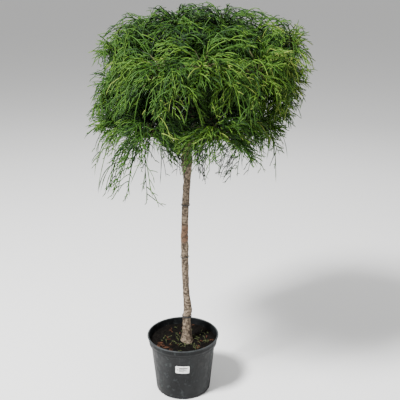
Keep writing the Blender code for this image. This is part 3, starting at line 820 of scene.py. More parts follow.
@dataclass
class Pot:
    """The nursery pot: a lathed shell with a rolled lip, a band and drain holes."""

    height: float = 0.230
    lip_radius: float = 0.140
    lip_depth: float = 0.0045
    band_top: float = 0.1364
    band_foot_radius: float = 0.1332
    band_foot: float = 0.197
    shoulder_drop: float = 0.0035
    wall_top: float = 0.1255
    wall_foot: float = 0.1075
    corner: float = 0.0065
    wall: float = 0.0028
    sides: int = 192
    holes: int = 8
    hole_radius: float = 0.0055
    hole_first: float = -92.5
    hole_tilt: float = 42.0
    hole_sides: int = 24
    cutter_reach: float = 0.0195
    rib_height: float = 0.0006
    rib_foot: float = 0.002
    rib_crest: float = 0.0008
    bead_share: float = 0.45
    fillet: Pair = (0.002, 0.0015)
    step_in: float = 0.0009
    step_rise: float = 0.0008
    step_out: Pair = (0.0006, 0.0004)
    sharp_angle: float = 35

    def arc(self, middle: Pair, radius: float, start: float, end: float, steps: int) -> np.ndarray:
        """Points on an arc in the profile's plane: middle + radius * (cos, sin), in degrees."""
        angles = np.radians(np.linspace(start, end, steps))
        return np.column_stack([middle[0] + radius * np.cos(angles), middle[1] + radius * np.sin(angles)])

    def wall_radius(self, height: float | np.ndarray) -> float | np.ndarray:
        """Outer radius of the tapering wall at a height, on a straight line from foot to top.

        Args:
            height: Height above the ground, a number or an array.

        Returns:
            The radius, of the same kind.
        """
        top = self.band_foot - self.shoulder_drop
        share = (height - self.corner) / (top - self.corner)
        return self.wall_foot + (self.wall_top - self.wall_foot) * share

    def profile(self) -> np.ndarray:
        """The shell's half section, from the middle of its floor up inside and down outside.

        Returns:
            Radius and height of each point.
        """
        shoulder = self.band_foot - self.shoulder_drop
        bead = self.bead_share * self.lip_depth
        foot = self.corner
        inner = [
            (0.0, self.wall),
            (self.wall_foot - self.corner - self.wall, self.wall),
            (self.wall_foot - self.wall - self.fillet[0], self.wall + self.fillet[1]),
            (self.wall_foot - self.wall, foot + self.wall),
            (self.wall_top - self.wall, shoulder + self.wall),
            (self.band_foot_radius - self.wall, self.band_foot + self.wall),
            (self.band_top - self.wall, self.height - bead),
        ]
        lip = np.concatenate(
            [
                self.arc((self.band_top - self.wall + bead, self.height - bead), bead, 180, 90, 6),
                self.arc((self.lip_radius - bead, self.height - bead), bead, 90, 0, 6),
                self.arc((self.lip_radius - bead, self.height - self.lip_depth + bead), bead, 0, -90, 6),
            ]
        )
        band_rib = 0.5 * (self.height - self.lip_depth + self.band_foot)
        slope = (self.band_top - self.band_foot_radius) / (self.height - self.lip_depth - self.band_foot)
        at_rib = self.band_foot_radius + slope * (band_rib - self.band_foot)
        outer = [
            (self.band_top, self.height - self.lip_depth),
            (at_rib + slope * self.rib_foot, band_rib + self.rib_foot),
            (at_rib + self.rib_height, band_rib + self.rib_crest),
            (at_rib + self.rib_height, band_rib - self.rib_crest),
            (at_rib - slope * self.rib_foot, band_rib - self.rib_foot),
            (self.band_foot_radius, self.band_foot + self.step_rise),
            (self.band_foot_radius - self.step_in, self.band_foot),
            (self.wall_top + self.step_out[0], shoulder + self.step_out[1]),
            (self.wall_top, shoulder - self.step_rise),
            (self.wall_radius(0.5 * shoulder), 0.5 * shoulder),
        ]
        corner = self.arc((self.wall_foot - foot, foot), foot, 0, -90, 8)
        return np.concatenate([inner, lip, outer, corner, [(0.0, 0.0)]])

    def cut_holes(self, pot: bpy.types.Object) -> None:
        """Bores the drain holes through the lower corner by a Boolean with tilted cylinders.

        Args:
            pot: The lathed shell, whose mesh is replaced.
        """
        tilt = math.radians(self.hole_tilt)
        cylinders = []
        for i in range(self.holes):
            azimuth = math.radians(self.hole_first + 360 * i / self.holes)
            outward = np.array((math.cos(azimuth), math.sin(azimuth), 0.0))
            axis = outward * math.cos(tilt) - UP * math.sin(tilt)
            side = np.cross(outward, UP)
            over = np.cross(axis, side)
            place = outward * (self.wall_foot - self.corner / 2) + UP * self.corner / 2
            angles = TURN * np.arange(self.hole_sides) / self.hole_sides
            ring = self.hole_radius * (np.cos(angles)[:, None] * side + np.sin(angles)[:, None] * over)
            ends = np.array((-self.cutter_reach, self.cutter_reach))[:, None, None]
            cylinders.append(closed_tube(place + ring[None] + ends * axis))
        cutter = make_mesh("drain_hole_cutter", *merged(cylinders))
        cut = pot.modifiers.new("drain holes", "BOOLEAN")
        cut.operation = "DIFFERENCE"
        cut.object = cutter
        bpy.context.view_layer.update()
        evaluated = pot.evaluated_get(bpy.context.evaluated_depsgraph_get())
        mesh = bpy.data.meshes.new_from_object(evaluated)
        pot.modifiers.clear()
        pot.data = mesh
        bpy.data.objects.remove(cutter, do_unlink=True)

    def build(self, finish: PotPlastic) -> bpy.types.Object:
        """Turns the profile round Z: (radius cos, radius sin, height), and cuts the holes.

        Args:
            finish: The plastic.

        Returns:
            The pot.
        """
        profile = self.profile()
        angles = TURN * np.arange(self.sides) / self.sides
        rings = np.stack(
            [
                profile[1:-1, :1] * np.cos(angles),
                profile[1:-1, :1] * np.sin(angles),
                np.repeat(profile[1:-1, 1:], self.sides, axis=1),
            ],
            axis=-1,
        )
        pot = make_mesh("nursery_pot", *closed_tube(rings))
        self.cut_holes(pot)
        pot.data.set_sharp_from_angle(angle=math.radians(self.sharp_angle))
        return finish_piece(pot, finish.material(), ("pot",))


@dataclass
class Ground:
    """The soil in the pot, and what lies on it."""

    pot: Pot
    top: float = 0.2015
    rim_rise: float = 0.0025
    gap: float = 0.0004
    relief: float = 0.0034
    rings: int = 96
    sides: int = 220
    # Relief: (lattice steps a metre, share of the relief, seed) of waves, crumbs and grains
    layers: tuple[tuple[float, float, int], ...] = ((45, 0.7, 3), (190, 0.6, 4), (480, 0.3, 5))
    play: float = 0.0006
    # Free circle round the stem: its middle's X, and its radius
    stem: Pair = (0.0156, 0.030)
    hub_share: float = 0.012
    hub_radius: float = 0.002
    tuck: float = 0.0005
    inset: float = 0.001
    margin: float = 0.006
    crumbs: int = 1100
    crumb_seed: int = 11
    crumb_sizes: Pair = (0.0008, 0.0030)
    crumb_stretch: Pair = (0.6, 1.3)
    slack: float = 0.1
    chips: int = 60
    chip_seed: int = 12
    chip_half: tuple[float, float, float] = (0.0045, 0.0015, 0.0005)
    chip_sizes: Pair = (0.6, 1.6)
    chip_azimuths: Pair = (-165, -110)
    chips_at_rim: float = 0.45
    chip_nearest: float = 0.080
    chip_margin: float = 0.010
    chip_tilt: float = 0.3
    chip_rise: float = 0.0012
    seedlings: int = 46
    seedling_seed: int = 13
    seedling_margin: float = 0.022
    seedling_squeeze: float = 0.9
    seedling_sink: float = 0.001
    # Height of a seedling's stem: the first times t less the second times t squared
    seedling_arch: Pair = (2.2, 1.5)
    seedling_leaf_rise: float = 0.5
    seedling_steps: int = 6
    seedling_reach: Pair = (0.008, 0.026)
    seedling_rise: Pair = (0.006, 0.020)
    seedling_radius: float = 0.0005
    seedling_leaf: Pair = (0.002, 0.006)
    seedling_leaf_radius: float = 0.0008
    seedling_tooth: float = 0.3

    def edge(self) -> float:
        """Radius of the soil where it meets the pot's band."""
        return self.pot.band_foot_radius - self.pot.wall - self.gap - self.play

    def surface(self, x: np.ndarray, y: np.ndarray) -> np.ndarray:
        """Height of the soil: its level, a rise to the rim by the fourth power, and three sizes of noise.

        Args:
            x: Places towards +X.
            y: Places towards +Y.

        Returns:
            A height for each place.
        """
        spots = np.stack([x, y, np.zeros_like(x)], axis=-1)
        rise = self.rim_rise * np.clip(np.hypot(x, y) / self.edge(), 0, 1) ** 4
        bumps = sum(share * (lattice_noise(spots * scale, seed) - 0.5) for scale, share, seed in self.layers)
        return self.top + rise + self.relief * bumps

    def build_soil(self, finish: Earth) -> bpy.types.Object:
        """A crumbly top over a polar grid, closed just inside the pot's walls and floor.

        Args:
            finish: The potting mix.

        Returns:
            The soil.
        """
        angles = TURN * np.arange(self.sides) / self.sides
        radii = self.edge() * np.linspace(self.hub_share, 1, self.rings)
        x = radii[:, None] * np.cos(angles)
        y = radii[:, None] * np.sin(angles)
        top = np.stack([x, y, self.surface(x, y)], axis=-1)
        pot = self.pot
        shoulder = pot.band_foot - pot.shoulder_drop
        below = [
            (self.edge(), pot.band_foot + pot.wall + self.tuck),
            (pot.wall_top - pot.wall - self.gap - self.play, shoulder + pot.wall),
            (pot.wall_foot - pot.wall - self.gap - self.play, pot.corner + pot.wall + self.gap),
            (pot.wall_foot - pot.corner - self.inset, pot.wall + self.gap),
            (self.hub_radius, pot.wall + self.gap),
        ]
        walls = np.stack(
            [
                np.stack([r * np.cos(angles), r * np.sin(angles), np.full(self.sides, z)], axis=-1)
                for r, z in below
            ]
        )
        soil = make_mesh("potting_soil", *closed_tube(np.concatenate([top, walls])))
        return finish_piece(soil, finish.material(), ("soil",))

    def scatter(self, count: int, seed: int) -> tuple[np.ndarray, np.random.Generator]:
        """Seeded places on the soil, even over its area and clear of the trunk.

        Args:
            count: How many places.
            seed: Picks the places.

        Returns:
            The places, and the random numbers to go on with.
        """
        rng = np.random.default_rng(seed)
        radii = np.sqrt(rng.uniform(0, 1, 3 * count)) * (self.edge() - self.margin)
        angles = rng.uniform(0, TURN, 3 * count)
        x, y = radii * np.cos(angles), radii * np.sin(angles)
        free = np.hypot(x - self.stem[0], y) > self.stem[1]
        x, y = x[free][:count], y[free][:count]
        return np.column_stack([x, y, self.surface(x, y)]), rng

    def build_crumbs(self, finish: Earth) -> bpy.types.Object:
        """Lumps of mix: twenty-faced balls with each corner drawn in or out, half sunk in the soil.

        Args:
            finish: The potting mix.

        Returns:
            All the crumbs.
        """
        places, rng = self.scatter(self.crumbs, self.crumb_seed)
        golden = (1 + math.sqrt(5)) / 2
        ball = np.array(
            [p for a, b in product((-1, 1), (-golden, golden)) for p in ((0, a, b), (a, b, 0), (b, 0, a))]
        ) / math.hypot(1, golden)
        apart = np.linalg.norm(ball[:, None] - ball[None], axis=2)
        edge = np.sort(apart[0])[1] * (1 + self.slack)
        faces = np.array(
            [
                (i, j, k)
                for i, j, k in product(range(12), repeat=3)
                if i < j < k and max(apart[i, j], apart[j, k], apart[i, k]) < edge
            ]
        )
        first, second, third = (ball[faces[:, i]] for i in range(3))
        inward = (np.cross(second - first, third - first) * first).sum(axis=1) < 0
        faces[inward] = faces[inward][:, ::-1]
        count = len(places)
        sizes = rng.uniform(*self.crumb_sizes, (count, 1, 1))
        sizes = sizes * rng.uniform(*self.crumb_stretch, (count, 12, 3))
        points = places[:, None] + ball * sizes
        blocks = (faces + 12 * np.arange(count)[:, None, None]).reshape(-1, 3)
        crumbs = make_mesh("soil_crumbs", points.reshape(-1, 3), [blocks], smooth=False)
        return finish_piece(crumbs, finish.material())

    def build_chips(self, finish: Earth) -> bpy.types.Object:
        """Flat slivers of old bark, nearly half of them by the left front rim.

        Args:
            finish: The chips' bark.

        Returns:
            All the chips.
        """
        places, rng = self.scatter(self.chips, self.chip_seed)
        to_rim = rng.uniform(0, 1, len(places)) < self.chips_at_rim
        angle = np.radians(rng.uniform(*self.chip_azimuths, len(places)))
        radius = rng.uniform(self.chip_nearest, self.edge() - self.chip_margin, len(places))
        x = np.where(to_rim, radius * np.cos(angle), places[:, 0])
        y = np.where(to_rim, radius * np.sin(angle), places[:, 1])
        places = np.column_stack([x, y, self.surface(x, y) + self.chip_rise])
        corner = np.array(list(product((-1, 1), repeat=3))) * self.chip_half
        turn = rng.uniform(0, TURN, len(places))
        tilt = rng.uniform(-self.chip_tilt, self.chip_tilt, len(places))
        size = rng.uniform(*self.chip_sizes, len(places))
        along = np.column_stack([np.cos(turn), np.sin(turn), tilt])
        side = np.column_stack([-np.sin(turn), np.cos(turn), 0 * turn])
        basis = np.stack([along, side, np.cross(along, side)], axis=1) * size[:, None, None]
        points = places[:, None] + np.einsum("ck,nkj->ncj", corner, basis)
        box = np.array(
            [(0, 1, 3, 2), (4, 6, 7, 5), (0, 4, 5, 1), (2, 3, 7, 6), (0, 2, 6, 4), (1, 5, 7, 3)]
        )
        blocks = (box + 8 * np.arange(len(places))[:, None, None]).reshape(-1, 4)
        chips = make_mesh("soil_bark_chips", points.reshape(-1, 3), [blocks], smooth=False)
        return finish_piece(chips, finish.material())

    def build_seedlings(self, finish: Leaf) -> bpy.types.Object:
        """Thin seedlings: each stem leaves the soil on a parabola, rise * (up * t - down * t**2).

        Short leaves stand off it in every direction, from its third point on.

        Args:
            finish: The seedlings' green.

        Returns:
            All the seedlings.
        """
        rng = np.random.default_rng(self.seedling_seed)
        count = self.seedlings
        angle = rng.uniform(0, TURN, count)
        radius = rng.uniform(self.stem[1], self.edge() - self.seedling_margin, count)
        squeeze = self.seedling_squeeze
        places = np.column_stack(
            [self.stem[0] + radius * np.cos(angle) * squeeze, radius * np.sin(angle) * squeeze]
        )
        turn = rng.uniform(0, TURN, count)
        reach = rng.uniform(*self.seedling_reach, count)
        rise = rng.uniform(*self.seedling_rise, count)
        t = np.linspace(0, 1, self.seedling_steps + 1)[None, :]
        x = places[:, :1] + reach[:, None] * np.cos(turn)[:, None] * t
        y = places[:, 1:] + reach[:, None] * np.sin(turn)[:, None] * t
        up, down = self.seedling_arch
        foot = self.surface(x[:, :1], y[:, :1]) - self.seedling_sink
        z = foot + rise[:, None] * (up * t - down * t**2)
        stems = np.stack([x, y, z], axis=-1)
        starts = stems[:, 2:].reshape(-1, 3)
        away = rng.uniform(0, TURN, len(starts))
        size = rng.uniform(*self.seedling_leaf, len(starts))
        lift = self.seedling_leaf_rise * size
        tips = starts + np.column_stack([size * np.cos(away), size * np.sin(away), lift])
        share = np.linspace(0, 1, 4)[None, :, None]
        leaves = starts[:, None] * (1 - share) + tips[:, None] * share
        parts = [
            cord_skin(Cords.even(stems, self.seedling_radius), 0.0),
            cord_skin(Cords.even(leaves, self.seedling_leaf_radius), self.seedling_tooth),
        ]
        seedlings = make_mesh("soil_seedlings", *merged(parts))
        return finish_piece(seedlings, finish.material())


@dataclass
class Label:
    """Bare label: the plate is the CAD node, and plain bars and a dot stand in for print."""

    pot: Pot
    middle: float = 0.1415
    azimuth: float = -90.0
    turn: float = 2.0
    proud: float = 0.00130
    thick: float = 0.00012
    steps: int = 12
    # Bars: (left, right, low, high) on the plate, in millimetres from its middle
    bars: tuple[tuple[float, float, float, float], ...] = (
        (-12.0, 19.0, 4.5, 8.5),
        (-12.0, 8.0, 0.0, 2.2),
        (-12.0, 15.0, -4.4, -2.4),
        (-12.0, 4.0, -8.6, -6.8),
        (-20.0, -16.5, -1.6, 1.6),
    )

    def wrapped(self, across: np.ndarray, up: np.ndarray, out: float) -> np.ndarray:
        """Plate coordinates laid round the conical wall: the azimuth turns by width over radius.

        Args:
            across: Places to the right of the plate's middle.
            up: Places above it.
            out: How far they stand off the wall.

        Returns:
            The places in the part's frame.
        """
        turn = math.radians(self.turn)
        side = across * math.cos(turn) + up * math.sin(turn)
        rise = up * math.cos(turn) - across * math.sin(turn)
        height = self.middle + rise
        angle = math.radians(self.azimuth) + side / self.pot.wall_radius(self.middle)
        radius = self.pot.wall_radius(height) + out
        return np.stack([radius * np.cos(angle), radius * np.sin(angle), height], axis=-1)

    def build(self, plate: Plain, print_finish: Plain) -> bpy.types.Object:
        """Dresses the plate, and lays thin plain bars on it.

        Args:
            plate: Finish of the plate.
            print_finish: Finish of the bars.

        Returns:
            The bars.
        """
        node = frame["nodes"]["label"]
        node.data.materials.clear()
        node.data.materials.append(plate.material())
        parts = []
        for left, right, low, high in self.bars:
            across = np.linspace(left, right, self.steps) / 1000
            rings = []
            for up, out in ((low, 0), (high, 0), (high, 1), (low, 1)):
                level = np.full(self.steps, up / 1000)
                rings.append(self.wrapped(across, level, self.proud + out * self.thick))
            parts.append(closed_tube(np.stack(rings, axis=1)))
        bars = make_mesh("label_bars", *merged(parts), smooth=False)
        return finish_piece(bars, print_finish.material())


@dataclass
class Trunk:
    """The bare stem from the soil past the graft to its tip inside the head."""

    rings: int = 760
    sides: int = 80
    sink: float = 0.006
    flare: float = 0.016
    knot_spread: float = 0.011
    # Dimple in a knot: its depth and reach as shares of the knot's, and how narrow it is round the stem
    dimple_depth: float = 0.55
    dimple_fill: float = 0.8
    dimple_reach: float = 0.35
    dimple_power: float = 14
    bark_depth: float = 0.0016
    # Relief of the bark: (lattice steps a metre along X, Y and Z, share of the depth, seed)
    bark_layers: tuple[tuple[tuple[float, float, float], float, int], ...] = (
        ((420, 420, 46), 0.7, 21),
        ((120, 120, 60), 0.8, 22),
        ((55, 55, 260), 0.7, 23),
        ((600, 600, 700), 0.35, 24),
    )
    # Dome on the tip: (share of the last ring's radius, rise)
    dome: tuple[Pair, ...] = ((0.8, 0.0015), (0.4, 0.0026))

    def section(self, heights: np.ndarray) -> tuple[np.ndarray, np.ndarray]:
        """Lean and radius on cubic curves through the stations, with the stations' own slopes.

        Args:
            heights: Heights above the ground.

        Returns:
            The lean towards +X and the radius at each height.
        """
        stations, *columns = (np.array(column) for column in zip(*TRUNK_STATIONS))
        i = np.clip(np.searchsorted(stations, heights) - 1, 0, len(stations) - 2)
        width = stations[i + 1] - stations[i]
        t = np.clip((heights - stations[i]) / width, 0, 1)
        values = []
        for column in columns:
            slopes = np.gradient(column, stations)
            values.append(
                (2 * t**3 - 3 * t**2 + 1) * column[i]
                + (t**3 - 2 * t**2 + t) * width * slopes[i]
                + (3 * t**2 - 2 * t**3) * column[i + 1]
                + (t**3 - t**2) * width * slopes[i + 1]
            )
        return values[0], values[1]

    def relief(self, heights: np.ndarray, angles: np.ndarray) -> np.ndarray:
        """Toes die away upwards by exp(-height / flare), and each knot is a bell with a dimple.

        Args:
            heights: Heights above the ground.
            angles: Azimuths in radians.

        Returns:
            How far the surface stands out of the round section.
        """
        above = np.maximum(heights - TRUNK_STATIONS[0][0], 0)
        total = np.zeros(np.broadcast(heights, angles).shape)
        for azimuth, out in TOES:
            facing = np.maximum(np.cos(angles - math.radians(azimuth)), 0) ** 3
            total = total + out * np.exp(-above / self.flare) * facing
        for height, azimuth, out in KNOTS:
            facing = np.maximum(np.cos(angles - math.radians(azimuth)), 0)
            bell = np.exp(-(((heights - height) / self.knot_spread) ** 2))
            reach = self.dimple_reach * self.knot_spread
            dimple = self.dimple_fill * np.exp(-(((heights - height) / reach) ** 2))
            hollow = self.dimple_depth * facing**self.dimple_power * dimple
            total = total + out * (facing**2 * bell - hollow)
        return total

    def build(self, finish: Bark) -> bpy.types.Object:
        """Rings of lean + (radius + relief + bark) * (cos, sin), closed by a low dome.

        Args:
            finish: The stem's bark.

        Returns:
            The stem.
        """
        foot, top = TRUNK_STATIONS[0][0] - self.sink, TRUNK_STATIONS[-1][0]
        heights = np.linspace(foot, top, self.rings)[:, None]
        angles = (TURN * np.arange(self.sides) / self.sides)[None, :]
        lean, radius = self.section(heights)
        out = radius + self.relief(heights, angles)
        spots = np.stack([lean + out * np.cos(angles), out * np.sin(angles), heights + 0 * angles], axis=-1)
        layers = self.bark_layers
        bark = sum(share * (lattice_noise(spots * scale, seed) - 0.5) for scale, share, seed in layers)
        out = out + self.bark_depth * bark
        points = np.stack([lean + out * np.cos(angles), out * np.sin(angles), heights + 0 * angles], axis=-1)
        middle = points[-1].mean(axis=0)
        dome = [middle + (points[-1] - middle) * share + UP * rise for share, rise in self.dome]
        trunk = make_mesh("trunk_stem", *closed_tube(np.concatenate([points, np.stack(dome)])))
        return finish_piece(trunk, finish.material(), ("trunk",))


@dataclass
class Ties:
    """Dark rubber bands left round the stem."""

    trunk: Trunk
    bands: tuple[tuple[str, float, float], ...] = (
        ("tie_low", 0.309, 0.0075),
        ("tie_mid", 0.558, 0.0035),
        ("tie_high", 0.765, 0.0045),
    )
    thickness: float = 0.0014
    slack: float = 0.0004
    squareness: float = 0.6
    ripple: float = 0.0006
    sides: int = 96
    corners: int = 16

    def build(self, finish: Plain) -> None:
        """Each band follows the stem's own outline, and its section is a squared-off oval.

        The section is (sign * |cos|**squareness, sign * |sin|**squareness) over thickness and width.

        Args:
            finish: The rubber.
        """
        material = finish.material()
        angles = TURN * np.arange(self.sides) / self.sides
        for name, height, width in self.bands:
            levels = height + width * np.linspace(-0.5, 0.5, 5)[:, None]
            lean, radius = self.trunk.section(levels)
            inner = (radius + self.trunk.relief(levels, angles)).max(axis=0) + self.trunk.bark_depth
            middle = inner + self.slack + self.thickness / 2
            around = TURN * np.arange(self.corners) / self.corners
            cosine, sine = np.cos(around), np.sin(around)
            across = np.sign(cosine) * np.abs(cosine) ** self.squareness * self.thickness / 2
            up = np.sign(sine) * np.abs(sine) ** self.squareness * width / 2
            wave = self.ripple * np.sin(2 * angles + 40 * height)
            out = middle[:, None] + across[None, :]
            centre = float(lean.mean())
            points = np.stack(
                [
                    centre + out * np.cos(angles)[:, None],
                    out * np.sin(angles)[:, None],
                    height + up[None, :] + wave[:, None],
                ],
                axis=-1,
            )
            quads = skin(self.sides, self.corners)
            last = (self.sides - 1) * self.corners
            here, after = np.arange(self.corners), (np.arange(self.corners) + 1) % self.corners
            seam = np.stack([last + here, last + after, after, here], axis=-1)
            faces = np.concatenate([quads, seam])
            flat = points.reshape(-1, 3)
            if signed_volume(flat, faces) < 0:
                faces = faces[:, ::-1]
            band = make_mesh(name + "_band", flat, [faces])
            finish_piece(band, material, (name,))


@dataclass
class Crown:
    """The space that the head fills, and the cell of it that each mass keeps to."""

    axis: float = 0.080
    half_width: float = 0.380
    half_depth: float = 0.365
    shoulder: float = 1.270
    top: float = 1.480
    hang: float = 0.850
    squareness: float = 2.6
    lean: float = 0.20
    waist: float = 0.22
    trunk_axis: float = 0.035
    stretch: float = 0.75
    overlap: float = 0.085
    parting: float = 0.018
    parting_low: float = 1.010
    parting_high: float = 1.130
    middles: np.ndarray = field(init=False)

    def __post_init__(self) -> None:
        """Works out the middle of each mass."""
        rows = np.array([(mass.azimuth, mass.reach, mass.height) for mass in MASSES])
        azimuth = np.radians(rows[:, 0])
        self.middles = np.column_stack(
            [self.trunk_axis + rows[:, 1] * np.cos(azimuth), rows[:, 1] * np.sin(azimuth), rows[:, 2]]
        )

    def out(self, points: np.ndarray) -> np.ndarray:
        """How far out each point lies, as a share of an ellipse that narrows and leans below the shoulder.

        Args:
            points: Places, with x, y and z on the last axis.

        Returns:
            0 on the head's axis, and 1 on its outline.
        """
        above = points[..., 2] - self.shoulder
        waist = 1 + self.waist * np.minimum(above, 0)
        axis = self.axis + self.lean * np.minimum(above, 0)
        return np.hypot((points[..., 0] - axis) / self.half_width, points[..., 1] / self.half_depth) / waist

    def holds(self, points: np.ndarray, reach: np.ndarray) -> np.ndarray:
        """Whether points lie under the dome: out**s + up**s < reach, above the lowest strands.

        Args:
            points: Places, with x, y and z on the last axis.
            reach: How far the dome goes for each cord.

        Returns:
            Truth for each point.
        """
        up = np.clip((points[..., 2] - self.shoulder) / (self.top - self.shoulder), 0, None)
        inside = self.out(points) ** self.squareness + up**self.squareness < reach
        return inside & (points[..., 2] > self.hang)

    def wall(self, heights: np.ndarray) -> np.ndarray:
        """Least depth in its cell that a cord keeps: masses mingle above, and hang apart below."""
        return np.interp(heights, (self.parting_low, self.parting_high), (self.parting, -self.overlap))

    def depth(self, index: int, points: np.ndarray) -> np.ndarray:
        """How far points lie inside the nearest wall between a mass's middle and another's.

        Args:
            index: The mass.
            points: Places, with x, y and z on the last axis.

        Returns:
            A depth for each point, negative outside the cell.
        """
        scale = np.array((1.0, 1.0, self.stretch))
        squared = (((points[..., None, :] - self.middles) * scale) ** 2).sum(axis=-1)
        widths = 2 * np.linalg.norm((self.middles - self.middles[index]) * scale**2, axis=1)
        widths[index] = 1.0
        depths = (squared - squared[..., [index]]) / widths
        depths[..., index] = np.inf
        return depths.min(axis=-1)


@dataclass(frozen=True)
class Order:
    """How the cords of one order grow: counts, shares of the parent, turns, sizes."""

    count: int
    steps: int
    first: float
    last: float
    least_turn: float
    most_turn: float
    length: float
    shorten: float
    radius: float
    lift: float


@dataclass
class Head:
    """Grows every mass: leaders arch out of the bough's tip, and forked side cords leave them."""

    crown: Crown
    trunk: Trunk
    leaders: int = 44
    spread: float = 1.45
    wander: float = 0.30
    lift_shares: Pair = (0.3, 1.0)
    length_shares: Pair = (0.85, 1.35)
    leader_steps: int = 10
    leader_radius: float = 0.0021
    root_share: float = 0.7
    tooth: float = 0.16
    shortest: float = 0.30
    curtain_heights: tuple[float, ...] = (1.10, 1.20, 1.30, 1.36)
    curtain_shares: tuple[float, ...] = (1.0, 1.3, 1.3, 1.0)
    reaches: Pair = (0.78, 1.16)
    clearance: float = 0.004
    least_level: float = 0.02
    leader_bend: float = 2.0
    leader_droops: Pair = (0.45, 1.1)
    branch_bend: float = 4.0
    branch_droops: Pair = (0.5, 1.8)
    branch_lengths: Pair = (0.55, 1.25)
    branch_lifts: Pair = (-0.4, 1.4)
    branch_radii: Pair = (0.85, 1.15)
    levelled: float = 0.55
    rise_kept: float = 0.75
    # Shares of a cord's tone: its spray's, its own, outwards (painted shade deep in the head, painted light
    # near its outline), upwards (painted light on the top), to the right, and a step an order
    tone_shares: tuple[float, ...] = (0.26, 0.28, 0.26, 0.10, 0.08, 0.04)
    # Painted shade and light: the power on how far out a cord ends, and the height where painted light on
    # the top starts and how far it rises
    inner_shade_power: float = 1.5
    top_light_foot: float = 1.0
    top_light_height: float = 0.45
    tone_left: float = -0.2
    tone_width: float = 0.6
    # Most tone of each tint, in the tints' order: the last takes all that is left
    limits: tuple[float, ...] = (0.36, 0.50, 0.68, 0.84, math.inf)
    twig_radius: float = 0.0025
    twig_tooth: float = 0.05
    sides: Order = Order(
        count=14, steps=7, first=0.08, last=0.98, least_turn=12.0, most_turn=48.0,
        length=0.66, shorten=0.36, radius=0.00175, lift=0.45,
    )
    twiglets: Order = Order(
        count=2, steps=4, first=0.25, last=0.95, least_turn=15.0, most_turn=48.0,
        length=0.50, shorten=0.22, radius=0.00150, lift=0.38,
    )
    seed: int = 5

    def __post_init__(self) -> None:
        """Starts the seeded numbers."""
        self.rng = np.random.default_rng(self.seed)

    def droop(
        self,
        starts: np.ndarray,
        headings: np.ndarray,
        lengths: np.ndarray,
        droops: np.ndarray,
        bends: np.ndarray,
        steps: int,
    ) -> np.ndarray:
        """Paths that bend down: each step turns the direction by bend * side - droop * up.

        Args:
            starts: Where each cord leaves its parent.
            headings: Direction in which each cord sets off.
            lengths: Length of each cord.
            droops: How fast its weight bends it down, in radians a metre.
            bends: How fast it curls to one side, in radians a metre.
            steps: Straight stretches in each path.

        Returns:
            Paths, shaped (cords, steps + 1, 3).
        """
        direction = headings / np.linalg.norm(headings, axis=1)[:, None]
        side = np.column_stack([-direction[:, 1], direction[:, 0], 0 * direction[:, 0]])
        side /= np.maximum(np.linalg.norm(side, axis=1), NUDGE)[:, None]
        step = (lengths / steps)[:, None]
        points = [starts]
        for _ in range(steps):
            points.append(points[-1] + direction * step)
            direction = direction + step * (bends[:, None] * side - droops[:, None] * UP)
            direction = direction / np.linalg.norm(direction, axis=1)[:, None]
        return np.stack(points, axis=1)

    def trimmed(self, cords: Cords, index: int) -> Cords:
        """Ends each cord where it would leave the head or its mass's cell, or meet the stem.

        A shortened cord's points are spread again over what is left of its path.

        Args:
            cords: The cords, whose paths are changed.
            index: The mass that they belong to.

        Returns:
            The cords that are still long enough.
        """
        paths = cords.paths
        last = paths.shape[1] - 1
        lean, radius = self.trunk.section(np.minimum(paths[..., 2], TRUNK_STATIONS[-1][0]))
        clear = np.hypot(paths[..., 0] - lean, paths[..., 1]) > radius + self.clearance
        clear |= paths[..., 2] > TRUNK_STATIONS[-1][0] + self.clearance
        reach = self.rng.uniform(*self.reaches, len(paths))[:, None]
        free = self.crown.depth(index, paths) > self.crown.wall(paths[..., 2])
        inside = self.crown.holds(paths, reach) & clear & free
        inside[:, 0] = True
        share = np.where(inside.all(axis=1), last, inside.argmin(axis=1) - 1) / last
        spots = share[:, None] * np.arange(last + 1)
        low = np.minimum(spots.astype(int), last - 1)[..., None]
        part = spots[..., None] - low
        cords.paths = (
            np.take_along_axis(paths, low, axis=1) * (1 - part)
            + np.take_along_axis(paths, low + 1, axis=1) * part
        )
        return cords.kept(share > self.shortest)

    def grow_leaders(self, index: int) -> Cords:
        """Leaders of one mass, spread over all sides by the golden angle, with a seeded lift.

        Args:
            index: The mass.

        Returns:
            The leaders that found room.
        """
        mass = MASSES[index]
        k = np.arange(self.leaders)
        height = 1 - self.spread * (k + 0.5) / self.leaders
        azimuth = k * GOLDEN_ANGLE + self.rng.uniform(-self.wander, self.wander, self.leaders)
        level = np.sqrt(np.maximum(1 - height**2, self.least_level))
        rise = height + mass.lift * self.rng.uniform(*self.lift_shares, self.leaders)
        headings = np.column_stack([level * np.cos(azimuth), level * np.sin(azimuth), rise])
        shares = self.rng.uniform(*self.length_shares, self.leaders)
        lengths = mass.spray * shares + self.root_share * mass.size
        lengths = lengths * np.interp(mass.height, self.curtain_heights, self.curtain_shares)
        starts = np.repeat(self.crown.middles[[index]], self.leaders, axis=0)
        bends = self.rng.normal(0, self.leader_bend, self.leaders)
        droops = mass.droop * self.rng.uniform(*self.leader_droops, self.leaders)
        paths = self.droop(starts, headings, lengths, droops, bends, self.leader_steps)
        return self.trimmed(
            Cords(paths, np.full(self.leaders, self.leader_radius), index * self.leaders + k), index
        )

